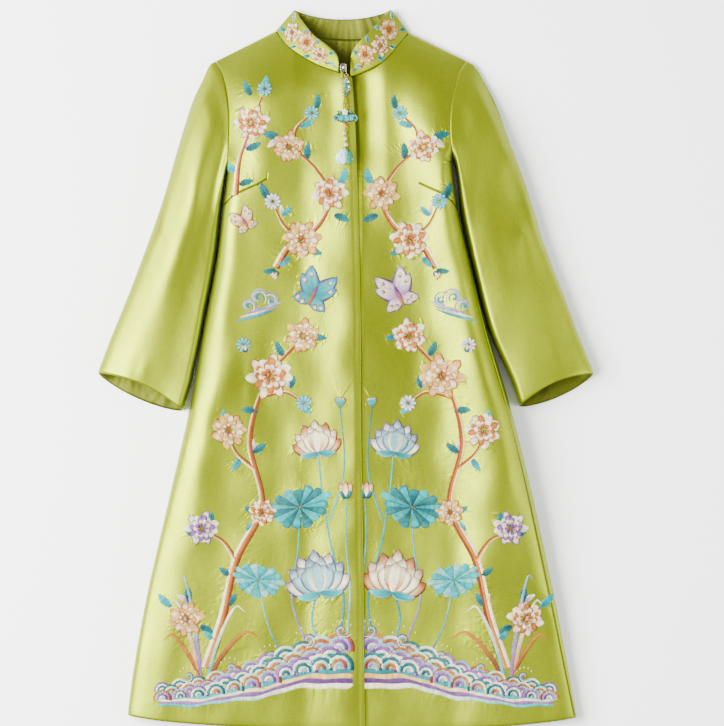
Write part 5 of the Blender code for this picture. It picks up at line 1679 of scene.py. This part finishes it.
collar_pieces = []
for side, name in ((-1, "right"), (1, "left")):
    band = Threads(collar_surface(side))
    stem(band, ((22, 8), (42, 20), (64, 14), (88, 26), (108, 22)), 2.6, 1.2, (ORANGE, IVORY), 0.2, CORAL)
    flowers = ((38, 22, 15, WARM), (66, 18, 14, ROSY), (94, 24, 16, WARM))
    if side < 0:
        flowers = ((40, 18, 14, ROSY), (69, 24, 17, WARM), (98, 19, 14, ROSY))
    for k, (a, b, r, palette) in enumerate(flowers):
        chrysanthemum(band, (a, b), r, palette, 0.4 * k, rings=3)
    for k, (a, b, degrees, size) in enumerate((
        (24, 10, 140, 15), (53, 8, -50, 13), (52, 33, 60, 14), (80, 8, -60, 13), (82, 33, 110, 13),
        (110, 12, -30, 14), (110, 32, 40, 13), (26, 30, 100, 13), (13, 12, 170, 11),
    )):
        shades = (TEAL, AQUA) if k % 2 else (TURQUOISE, MIST)
        leaf(band, (a, b), math.radians(degrees), size, size * 0.52, shades, 0.4, 0.4,
             IVORY if k % 3 == 0 else None)
    collar_pieces.append(band.make(f"embroidery_collar_{name}"))
print("collar:", [len(piece.data.polygons) for piece in collar_pieces], "faces")

# %% [markdown]
# ## Embroidery thread
#
# Rayon thread shines along its length. Fine ridges run the way the threads were laid, about two to a
# millimetre, and the colour comes from the stitched pads themselves.

# %% Thread material
def make_thread(name):
    look = Look(name, Roughness=0.5, Anisotropic=0.3, Sheen_Weight=0.02, Sheen_Roughness=0.4,
                Specular_IOR_Level=0.18)
    uv = look.add("UVMap", "UV", settings=[("uv_map", "thread")])
    colour = look.add("VertexColor", "Color", settings=[("layer_name", "thread_colour")])
    ridges = look.add("TexWave", "Fac", settings=[("bands_direction", "X")], Vector=uv, Scale=340,
                      Distortion=0.6, Detail=1)
    fibres = look.noise(uv, (420, 90, 1), 2, 0.5)
    shade = look.span(look.maths("MULTIPLY", ridges, fibres), 0.08, 0.46, 0.34, 1.3)
    tint = look.maths("SCALE", colour, Scale=shade, kind="VectorMath", output="Vector")
    return look.finish(Base_Color=tint, Normal=look.bump(ridges, 0.00035, 0.55))


thread = make_thread("embroidery_thread")
for piece in (*fronts_embroidery, *collar_pieces):
    piece.data.materials.append(thread)
    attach(piece, BODY_OF_COAT)
print("thread on", thread.users, "pieces")

# %% [markdown]
# ## The pendant's own frame
#
# The pendant lies on the coat in five linked pieces, each on its own body. All of them are drawn in one
# frame: x across, y down the pendant's length from the top hinge, z off the cloth. Two of the joints
# give its slope, and all the links lie on the level of the joints. Each piece is gathered by material, so
# that one material is one object on one body.

# %% Jewel helpers
HINGE = {joint["name"]: Vector(joint["pos_m"]) for joint in frame["joints"]}
down_pendant = (HINGE["drop_lift"] - HINGE["ring_lift"]).normalized()
off_cloth = Vector((1, 0, 0)).cross(-down_pendant)
LEVEL, EYE_RADIUS = 1.9, 1.75
turned = Matrix((Vector((1, 0, 0)), -down_pendant, off_cloth)).transposed().to_4x4()
PENDANT = Matrix.Translation(HINGE["ring_lift"] - off_cloth * LEVEL * MM) @ turned
STATION = {name: -(at - HINGE["ring_lift"]).length / MM for name, at in HINGE.items()}


class Jewels:
    """Gathers closed shapes of one material, in mm in the pendant's frame, and makes one object of them."""

    def __init__(self):
        self.points, self.faces, self.count = [], [], 0

    def grid(self, points, caps=True):
        """points: rings x around x 3, closed around. Its ends are closed with fans unless they meet."""
        rings, around = points.shape[:2]
        index = np.arange(rings * around).reshape(rings, around) + self.count
        near, far = index[:-1], index[1:]
        quads = joined(near, np.roll(near, -1, 1), np.roll(far, -1, 1), far).reshape(-1, 4)
        self.faces += quads.tolist()
        if caps:
            self.faces += [index[0][::-1].tolist(), index[-1].tolist()]
        self.points.append(points.reshape(-1, 3))
        self.count += rings * around

    def ball(self, at, size, turn=0, tilt=0, rings=9, around=16):
        a, b = np.meshgrid(np.linspace(0.04, math.pi - 0.04, rings), circle(around), indexing="ij")
        x, y, z = (0.5 * w * v for w,
                   v in zip(size, (np.sin(a) * np.cos(b), np.sin(a) * np.sin(b), np.cos(a))))
        y, z = y * math.cos(tilt) - z * math.sin(tilt), y * math.sin(tilt) + z * math.cos(tilt)
        x, y = x * math.cos(turn) - y * math.sin(turn), x * math.sin(turn) + y * math.cos(turn)
        self.grid(joined(x, y, z) + np.array(at))

    def tube(self, path, radius, around=8, closed=False):
        """A round wire along a path. radius is one number, or one for each point."""
        path = np.asarray(path, float)
        if closed:
            tangent = np.roll(path, -1, 0) - np.roll(path, 1, 0)
        else:
            tangent = np.gradient(path, axis=0)
        tangent /= np.linalg.norm(tangent, axis=1)[:, None]
        side = np.cross(tangent, (0, 0, 1))
        flat = np.linalg.norm(side, axis=1) < 0.05
        side[flat] = (1, 0, 0)
        side /= np.linalg.norm(side, axis=1)[:, None]
        self.wrap(path, side, np.cross(side, tangent), radius, around, closed)

    def wrap(self, path, side, up, radius, around, closed):
        """Circles round a path, in the plane of two directions at each point."""
        b = circle(around)[None, :, None]
        wide = np.broadcast_to(np.asarray(radius, float), (len(path),))[:, None, None]
        points = path[:, None] + wide * (side[:, None] * np.cos(b) + up[:, None] * np.sin(b))
        if closed:
            points = np.concatenate((points, points[:1]))
        self.grid(points, caps=not closed)

    def loop(self, at, radius, wire, stand=False, squeeze=1, count=26):
        """A wire ring, flat on the cloth, or standing along the pendant's length."""
        a = circle(count)
        u, v, w = radius * np.cos(a), radius * squeeze * np.sin(a), np.zeros(count)
        path = joined(*((w, u, v) if stand else (v, u, w))) + np.array(at)
        if stand:
            self.wrap(path, np.array([[1, 0, 0]]), joined(0, np.cos(a), np.sin(a)), wire, 8, True)
        else:
            self.tube(path, wire, closed=True)

    def cell(self, outline, low, high, dome=0.6):
        """A flat-backed drop of enamel: an outline that rises to a soft dome."""
        outline = np.asarray(outline, float)
        middle = outline.mean(axis=0)
        rows = []
        for share, z in ((1, low), (1, high - dome), (0.93, high - 0.4 * dome), (0.72, high - 0.1 * dome),
                         (0.35, high)):
            rows.append(joined(*(middle + (outline - middle) * share).T, z))
        self.grid(np.stack(rows))

    def make(self, name, body_name, material, slot, *replaces):
        mesh = bpy.data.meshes.new(name)
        mesh.from_pydata((np.concatenate(self.points) * MM).tolist(), [], self.faces)
        shaped = bmesh.new()
        shaped.from_mesh(mesh)
        bmesh.ops.remove_doubles(shaped, verts=shaped.verts, dist=0.000001)
        bmesh.ops.recalc_face_normals(shaped, faces=shaped.faces)
        shaped.to_mesh(mesh)
        shaped.free()
        mesh.shade_smooth()
        mesh.set_sharp_from_angle(angle=math.radians(50))
        piece = show(name, mesh)
        piece.matrix_world = PENDANT
        mesh.materials.append(material)
        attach(piece, body_name)
        if replaces:
            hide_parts(*replaces)
        return piece


def make_all(group, body_name, rows):
    """Each row is a gathering, the end of its name, its material, its slot (not used), and any solid it
    stands for.
    """
    pieces = [jewels.make(f"{group}_{end}", body_name, *rest) for jewels, end, *rest in rows]
    print(f"{group}:", sum(len(piece.data.polygons) for piece in pieces), "faces")


def petal_outline(at, angle, length, width, blunt=1, count=18):
    """A leaf-shaped outline that starts at a place and points along an angle."""
    s = np.linspace(0, 1, count // 2 + 1)
    half = width / 2 * np.sin(math.pi * s**blunt) ** 0.7
    u = np.concatenate((s, s[-2:0:-1])) * length
    v = np.concatenate((half, -half[-2:0:-1]))
    c, k = math.cos(angle), math.sin(angle)
    return joined(at[0] + u * c - v * k, at[1] + u * k + v * c)


def beside(at, reach, angle, z):
    return (*(np.array(at) + reach * ray(angle)), z)


def blossom(petals, centre, at, radius, z, number=5, turn=0.3, thick=1.1):
    """A small enamelled flower with domed petals round a bead."""
    for k in range(number):
        a = turn + 2 * math.pi * k / number
        petals.ball(beside(at, 0.52 * radius, a, z), (0.98 * radius, 0.80 * radius, thick), a, rings=7,
                    around=12)
    centre.ball((at[0], at[1], z + 0.35 * thick), (0.5 * radius, 0.5 * radius, 0.9 * thick), rings=7,
                around=12)


print("pendant stations:", {name: round(value, 1) for name, value in STATION.items()})

# %% [markdown]
# ## Jewel materials
#
# The metal is thin gilt and silver, scuffed a little. The enamel has a glassy coat over a mottled
# colour. The pearls have a soft deep gloss. The jade blossom is pale blue-white on its left and green
# on its right, with clouding in both.

# %% Jewel materials
def make_jewel(name, colours, metallic=0, roughness=0.25, coat=0, scale=900, relief=0.00006,
               subsurface=0, specular=0.5, right_side=None):
    """A glossy material whose colour drifts between two values, with fine wear in its surface."""
    look = Look(name, Metallic=metallic, Coat_Weight=coat, Coat_Roughness=0.08, Specular_IOR_Level=specular,
                Subsurface_Weight=subsurface, Subsurface_Scale=0.002)
    where = look.add("TexCoord", "Object")
    clouds = look.noise(where, scale, 3)
    colour = look.ramp(clouds, (0.35, colours[0]), (0.65, colours[1]))
    if right_side:
        deep = look.ramp(look.noise(where, 190, 4, 0.7), (0.36, right_side[0]), (0.62, right_side[1]))
        side = look.span(look.add("SeparateXYZ", "X", Vector=where), -0.004, 0.002)
        colour = look.blend(side, colour, deep)
    worn = look.span(clouds, 0, 1, roughness * 0.7, roughness * 1.4)
    return look.finish(Base_Color=colour, Roughness=worn, Normal=look.bump(clouds, relief, 0.5))


gold = make_jewel("gilt_wire", ((0.24, 0.11, 0.02), (0.46, 0.26, 0.07)), metallic=1, roughness=0.24)
silver = make_jewel("silver", ((0.14, 0.12, 0.08), (0.46, 0.43, 0.35)), metallic=1, roughness=0.22)
# A near-black metal for the backings that show in the gaps between wires, stones and cells.
backing_dark = make_jewel("dark_backing_metal", ((0.016, 0.007, 0.004), (0.05, 0.022, 0.014)), metallic=0.5,
                    roughness=0.5)
tab_satin = make_jewel("satin_tab", ((0.15, 0.19, 0.004), (0.19, 0.24, 0.004)), metallic=0.9, roughness=0.43)
ENAMEL = {"roughness": 0.25, "coat": 0.06, "scale": 420, "specular": 0.2}
turquoise = make_jewel("turquoise_enamel", ((0, 0.030, 0.026), (0, 0.17, 0.145)), **ENAMEL)
pale_blue = make_jewel("pale_blue_enamel", ((0, 0.12, 0.11), (0.005, 0.34, 0.31)), **ENAMEL)
lavender = make_jewel("lavender_enamel", ((0.09, 0.10, 0.20), (0.26, 0.28, 0.42)), **ENAMEL)
white = make_jewel("white_enamel", ((0.50, 0.44, 0.34), (0.74, 0.70, 0.60)), roughness=0.25, coat=0.1,
                   scale=500)
rose = make_jewel("rose_bead", ((0.30, 0.06, 0.02), (0.50, 0.16, 0.06)), **ENAMEL)
green = make_jewel("green_enamel", ((0, 0.024, 0.014), (0.004, 0.10, 0.06)), **ENAMEL)
pearl = make_jewel("pearl", ((0.42, 0.37, 0.29), (0.56, 0.51, 0.43)), roughness=0.25, coat=0.3, scale=260,
                   subsurface=0.1)
crystal = make_jewel("crystal", ((0.10, 0.10, 0.09), (0.42, 0.42, 0.40)), metallic=0.4, roughness=0.1,
                     coat=0.3, scale=1500, relief=0.0002)
# The jade is pale blue-white on the blossom's left and turns green towards its right
jade = make_jewel("jade", ((0.10, 0.34, 0.36), (0.46, 0.66, 0.66)), roughness=0.25, coat=0.1, scale=230,
                  relief=0.0003, subsurface=0.1, right_side=((0, 0.050, 0.024), (0.012, 0.19, 0.10)))
print(len(bpy.data.materials), "materials")

# %% [markdown]
# ## Button and spray
#
# The button is a silver frame of scrolls set with clear stones and a shell flower, over a tab sewn to
# the right front. A jump ring joins it to the spray: small enamel blossoms and buds on a gilt stem,
# with beads on short wires to its sides, then two fine chains.

# %% Button, ring and spray
button_metal, button_stones, button_shell, button_back, button_tab = (Jewels() for _ in range(5))
BUTTON_AT = (-4.7, 9)
half_x, half_y = 4.3, 5.8
a = circle(48)
squared = [np.sign(f(a)) * np.abs(f(a)) ** 0.55 for f in (np.cos, np.sin)]
rim = joined(BUTTON_AT[0] + half_x * squared[0], BUTTON_AT[1] + half_y * squared[1], 2.3)
button_metal.tube(rim, 0.6, closed=True)
button_back.cell(rim[:, :2], -0.9, 1.9, 0.4)
for sx in (-1, 1):
    for sy in (-1, 1):
        s = np.linspace(0, 1, 22)
        wind = 0.6 + 4.4 * s
        across = BUTTON_AT[0] + sx * (2.2 + 1.4 * (1 - s) * np.cos(wind))
        up = BUTTON_AT[1] + sy * (3.1 + 1.7 * (1 - s) * np.sin(wind))
        button_metal.tube(joined(across, up, 2.6), 0.34, 6)
        button_stones.ball((BUTTON_AT[0] + sx * 2.5, BUTTON_AT[1] + sy * 3.5, 2.7), (1.3, 1.3, 1.1))
for k in range(2):
    button_stones.ball((BUTTON_AT[0], BUTTON_AT[1] + (4.4 if k else -4.4), 2.6), (1.2, 1.2, 1))
blossom(button_shell, button_stones, BUTTON_AT, 2.2, 2.9, 5, 0.4)
button_tab.cell(np.array(((-8.2, -5.4), (-4.2, -5.4), (-4.2, 4.4), (-8.2, 4.4))), -0.6, 0.9, 0.2)
button_metal.tube(((0, 3.6, LEVEL), (0, 2.7, LEVEL), (0, 1.8, LEVEL)), 0.6)
button_metal.loop((0, 0, LEVEL), EYE_RADIUS, 0.5, stand=True)
make_all("button", BODY_OF_COAT, (
    (button_metal, "silver", silver, "silver", "button"),
    (button_stones, "crystals", crystal, "silver"),
    (button_shell, "shell_flower", white, "white_enamel"),
    (button_back, "back", backing_dark, "silver"),
    (button_tab, "tab", tab_satin, "satin"),
))

jump_ring = Jewels()
jump_ring.loop((0, -2.6, LEVEL), 2.6, 0.5)
make_all("jump_ring", "ring", ((jump_ring, "gilt", gold, "gold", "jump_ring"),))

spray_top, spray_low = STATION["spray_lift"] - 1.6, STATION["spray_lift"] - 30
wires, blues, pales, whites, reds, greens, mauves = (Jewels() for _ in range(7))
wires.loop((0, STATION["spray_lift"], LEVEL), EYE_RADIUS, 0.5, stand=True)
s = np.linspace(0, 1, 20)
wires.tube(joined(0.5 * np.sin(s * 9), mix(spray_top, spray_low, s), LEVEL), 0.75)
SPRAY = (
    (0.08, 0, 2.7, "lavender"), (0.20, -1.6, 2.9, "lavender"), (0.24, 3, 2.4, "white"),
    (0.36, 1.8, 3, "blue"),
    (0.44, -3, 2.6, "pale"), (0.50, 4.2, 2, "white"), (0.60, -0.4, 3.2, "blue"), (0.66, 3.6, 2.2, "red"),
    (0.76, 2.6, 2.6, "green"), (0.80, -2.8, 2.7, "blue"), (0.93, 0.2, 2.8, "green"),
)
BEADS = ("blue", "green", "blue", "pale", "red", "green", "blue", "green", "blue")
by_name = {"pale": pales, "white": whites, "red": reds, "blue": blues, "green": greens, "lavender": mauves}
for k, (share, offset, radius, kind) in enumerate(SPRAY):
    at = (offset, mix(spray_top, spray_low, share))
    blossom(by_name[kind], whites if kind == "red" else wires, at, radius, 3 + 0.5 * (k % 2), 5, 0.7 * k)
for k in range(9):
    y = mix(spray_top, spray_low, 0.3 + 0.075 * k)
    way = 1 if k % 2 else -1
    end = (way * (6.6 + 1.7 * math.sin(2.1 * k)), y - 1.6 - 0.6 * (k % 3), 2.3)
    wires.tube(((0, y, 2.2), (end[0] * 0.55, y + 0.5, 2.9), end), 0.24, 6)
    by_name[BEADS[k]].ball(end, (1.9, 1.9, 1.7))
for k in range(8):
    y = mix(spray_top, spray_low, 0.12 + 0.11 * k)
    way = -1 if k % 2 else 1
    for leaves, lean in ((blues, 50), (greens, 72)):
        leaves.cell(petal_outline((0.4 * way, y), math.radians(-90 + way * lean), 3.6, 1.7), 1.5, 2.6, 0.4)


def chain(metal, start, end, pitch=1.5, radius=0.85, wire=0.27):
    """Small links that lie flat and stand by turns."""
    start, end = np.array(start), np.array(end)
    number = max(2, round(float(np.linalg.norm(end - start)) / pitch))
    heading = (end - start) / np.linalg.norm(end - start)
    side = np.array((heading[1], -heading[0], 0))
    b = circle(16)
    for k in range(number):
        at = start + (end - start) * (k + 0.5) / number
        across = side if k % 2 else np.array((0, 0, 1))
        path = (at + np.cos(b)[:, None] * heading * radius * 1.15
                + np.sin(b)[:, None] * across * radius * 0.62)
        metal.tube(path, wire, 6, closed=True)


for side in (-1, 1):
    top = (side * 1.4, spray_low + 1.4, LEVEL)
    low = (side * 4.2, STATION["crescent_lift"] + 1.75, LEVEL)
    chain(wires, top, low)
    wires.loop((side * 4.2, STATION["crescent_lift"], LEVEL), EYE_RADIUS, 0.45, stand=True)
make_all("spray", "spray", (
    (wires, "gilt", gold, "gold", "sprig"),
    (blues, "turquoise", turquoise, "turquoise"),
    (pales, "pale_blue", pale_blue, "turquoise"),
    (whites, "white", white, "white_enamel"),
    (reds, "rose", rose, "white_enamel"),
    (greens, "green", green, "jade"),
    (mauves, "lavender", lavender, "turquoise"),
))

# %% [markdown]
# ## Crescent
#
# The medallion is a crescent whose ends point down and curl up into scrolls. Its turquoise lies in
# cells between gilt wires, as in cloisonne. A white flower sits in the middle under a row of beads, and
# wires below run to one loop.

# %% Crescent
top = STATION["crescent_lift"] - 7.9
metal, teal, light, shell, pink, backing = (Jewels() for _ in range(6))
count = 25
t = np.linspace(-1, 1, count)
MIDDLE = -1.1
upper = joined(MIDDLE + t * 16.6, top - 6.5 - 3.4 * t * t)
lower = joined(MIDDLE + t * 16.6, top - 21.6 + 5.4 * t * t)
backing.cell(np.concatenate((lower, upper[::-1])), 0.4, 2.1, 0.3)
metal.tube(joined(*lower.T, 2.3), 0.36, 7)
CELLS = 11
for k in range(CELLS):
    u = -0.86 + 1.72 * k / (CELLS - 1)
    low_at = np.array([np.interp(u, t, lower[:, i]) for i in range(2)])
    high_at = np.array([np.interp(u * 0.9, t, upper[:, i]) for i in range(2)])
    reach = float(np.hypot(*(low_at - high_at)))
    angle = math.atan2(low_at[1] - high_at[1], low_at[0] - high_at[0])
    outline = petal_outline(high_at + (low_at - high_at) * 0.06, angle, reach * 0.9, 3.5, 1.25)
    (light, teal, light)[k % 3].cell(outline, 1.6, 3, 0.5)
    metal.tube(joined(*outline.T, 2.4), 0.16, 6, closed=True)
for side in (-1, 1):
    at = (MIDDLE + side * 13.6, top - 14.4)
    s = np.linspace(0, 1, 40)
    wind = math.radians(-70) + s * 2 * math.pi * 1.15
    r = 4.7 * (1 - 0.62 * s)
    path = joined(at[0] + side * r * np.cos(wind), at[1] + r * np.sin(wind), 2.5)
    light.tube(path, 1.3 * (1 - 0.5 * s), 10)
    backing.ball((*at, 2.6), (4.4, 4, 2.2))
    for k in range(4):
        a_k = math.radians(28 + 40 * k)
        (teal, pink, light,
         teal)[k].ball((at[0] + side * 5.6 * math.cos(a_k), at[1] + 5.6 * math.sin(a_k), 2), (1.5, 1.5, 1.4))
    for jewels, x, y, z, size in (
        (light if side > 0 else teal, 7.2, 4.6, 2.4, (2.9, 2.9, 2.2)),
        (teal, 11.6, 4.2, 2.4, (3.1, 3.1, 2.2)),
        (metal, 9.4, 3.2, 2, (1.2, 1.2, 1.2)), (metal, 9.4, 6, 2.2, (1.4, 1.4, 1.3)),
    ):
        jewels.ball((MIDDLE + side * x, top - y, z), size)
    backing.tube([(MIDDLE + side * x, top - y, 1.7) for x, y in ((4.4, 5), (9, 5.4), (13.8, 9.5))], 0.9)
    hang = (side * 4.2, STATION["crescent_lift"] - 2.1, LEVEL)
    metal.loop(hang, 2.1, 0.4)
    chain(metal, (side * 4.2, STATION["crescent_lift"] - 4, LEVEL), (side * 4.4, top - 4.2, LEVEL), 1.5,
          0.85)
    chain(metal, (side * 3.4, top - 20.6, LEVEL), (side * 0.6, STATION["drop_lift"] + 1.75, LEVEL), 1.5, 0.9,
          0.3)
    metal.ball((side * 5.8, top - 21.8, 1.9), (1.7, 2.4, 1.7))
    pink.ball((side * 3, top - 22.2, 2.1), (1.8, 1.8, 1.8))
metal.loop((0, STATION["drop_lift"], LEVEL), EYE_RADIUS, 0.45, stand=True)
flower_at = (-1.8, top - 5.6)
for layer_k, (number, radius, z) in enumerate(((5, 4.6, 4.1), (5, 3, 5.1))):
    for k in range(number):
        a_k = math.radians(90 + 72 * k + 36 * layer_k)
        shell.ball(beside(flower_at, 0.56 * radius, a_k, z), (1 * radius, 0.92 * radius, 1.3), a_k)
flower_knot = Jewels()
for k in range(6):
    a_k = 2 * math.pi * k / 5
    reach = 0.9 if k < 5 else 0
    flower_knot.ball(beside(flower_at, reach, a_k, 6), (0.95, 0.95, 0.95), rings=6, around=10)
make_all("crescent", "crescent", (
    (metal, "gilt", gold, "gold", "medallion"),
    (teal, "turquoise", turquoise, "turquoise"),
    (light, "pale_blue", pale_blue, "turquoise"),
    (pink, "rose", rose, "white_enamel"),
    (shell, "white_flower", white, "white_enamel", "medallion_flower"),
    (flower_knot, "flower_knot", gold, "gold"),
    (backing, "backing", backing_dark, "gold"),
))

# %% [markdown]
# ## Drop
#
# Three pearls with gilt caps hang over a carved bell blossom. The bell is one solid with six flutes, a
# notched mouth, and petals that overlap as ridges. It was ground from stone, so its edges are soft.

# %% Drop
start = STATION["drop_lift"] - 6.2
caps, beads, bell = Jewels(), Jewels(), Jewels()
caps.loop((0, STATION["drop_lift"] - 2.1, LEVEL), 2.1, 0.45)
for k in range(3):
    y = start - 5 - 9.1 * k
    sway = mix(-2.6, 0, k / 2)
    beads.ball((sway, y, 2.9), (6.4, 6.2, 6.2), rings=17, around=28)
    caps.ball((sway, y, 5.7), (2.1, 2.1, 1.3), rings=7, around=12)
    for way in (-1, 1):
        a = circle(18)
        rows = []
        for out, r in ((1.9, 2.5), (2.75, 2.2), (3.35, 1.3), (3.9, 0.55)):
            ripple = 1 + 0.10 * np.cos(6 * a) * (out < 2.5)
            wide = 0.8 * r * ripple
            rows.append(joined(sway + wide * np.cos(a), y + way * out, 2.9 + wide * np.sin(a)))
        caps.grid(np.stack(rows))
    caps.ball((sway + 0.6, y - 4.5, 2.9), (1.5, 1.1, 1.5), rings=7, around=12)
thread_line = ((0, STATION["drop_lift"] - 4.2, LEVEL), (-1.4, start, 2.4), (-2.6, start - 5, 2.9),
               (0, start - 23.2, 2.9), (-0.8, start - 28.2, 4))
caps.tube(thread_line, 0.45)
bell_top, bell_x = start - 27.8, -2.6
# down from the stem, half width, half thickness
BELL = ((0, 0.10, 1), (0.04, 0.24, 1.6), (0.12, 0.44, 2.5), (0.26, 0.72, 3.2), (0.45, 0.92, 3.6),
        (0.62, 0.99, 3.7), (0.78, 0.96, 3.3), (0.90, 0.86, 2.6), (1, 0.74, 1.7), (0.97, 0.5, 0.8))
a = circle(72)
rows = []
for down, half, thick in BELL:
    flute = 1 - 0.07 * smooth(down / 0.3) * np.abs(np.cos(3.5 * a + 0.4)) ** 0.6
    ridge = 0.28 * np.cos(14 * a + 6 * down) * smooth(down / 0.4)
    notch = 2.4 * smooth((down - 0.7) / 0.3) * np.abs(np.sin(3.5 * a + 0.4))
    rows.append(joined(bell_x + half * 14.6 * flute * np.cos(a), bell_top - down * 25.6 + notch,
                       4.9 + (thick * flute + ridge) * np.sin(a)))
bell.grid(np.stack(rows))
for k in range(5):
    s = np.linspace(0.06, 0.92, 16)
    x = bell_x + 13 * s * math.sin(math.radians(24 * (k - 2)) * 1.5)
    rise = np.interp(s, [row[0] for row in BELL[:-1]], [row[2] for row in BELL[:-1]])
    path = joined(x, bell_top - 24 * s,
                  4.9 + rise * np.sqrt(np.clip(1 - ((x - bell_x) / 15) ** 2, 0.05, 1)) - 0.15)
    bell.tube(path, 0.5 * np.sin(math.pi * np.linspace(0.08, 0.95, 16)) ** 0.6 + 0.05, 8)
for degrees in (-130, -50):
    caps.cell(petal_outline((bell_x, bell_top + 0.2), math.radians(degrees), 5, 2.6), 5.8, 7.2, 0.5)
caps.ball((bell_x + 0.6, bell_top + 0.4, 4.6), (3.6, 2.2, 3.6))
make_all("drop", "drop", (
    (caps, "gilt", gold, "gold"),
    (beads, "pearls", pearl, "pearl", "pearl_string"),
    (bell, "jade", jade, "jade", "jade_blossom"),
))

# %% [markdown]
# ## The cut
#
# A dressmaker knows each piece by its flat size. The wall builder kept the width, length and area of
# every outer skin as it made them, the sleeves and the front of the collar measured all the way round.
# So each cloth's size is printed: the size that it was cut to.

# %% Cloth sizes
for piece, on_it in (
    (front_right, fronts_embroidery[:1]), (front_left, fronts_embroidery[1:]), (back, []),
    (sleeve_right, []), (sleeve_left, []), (collar, collar_pieces), (facing, []),
):
    across, lengthwise, area = CUTS[piece.name]
    print(piece.name, f"{across * 1000:.0f} x {lengthwise * 1000:.0f} mm, {area:.3f} m2")

# %% Finish
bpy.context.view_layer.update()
import json
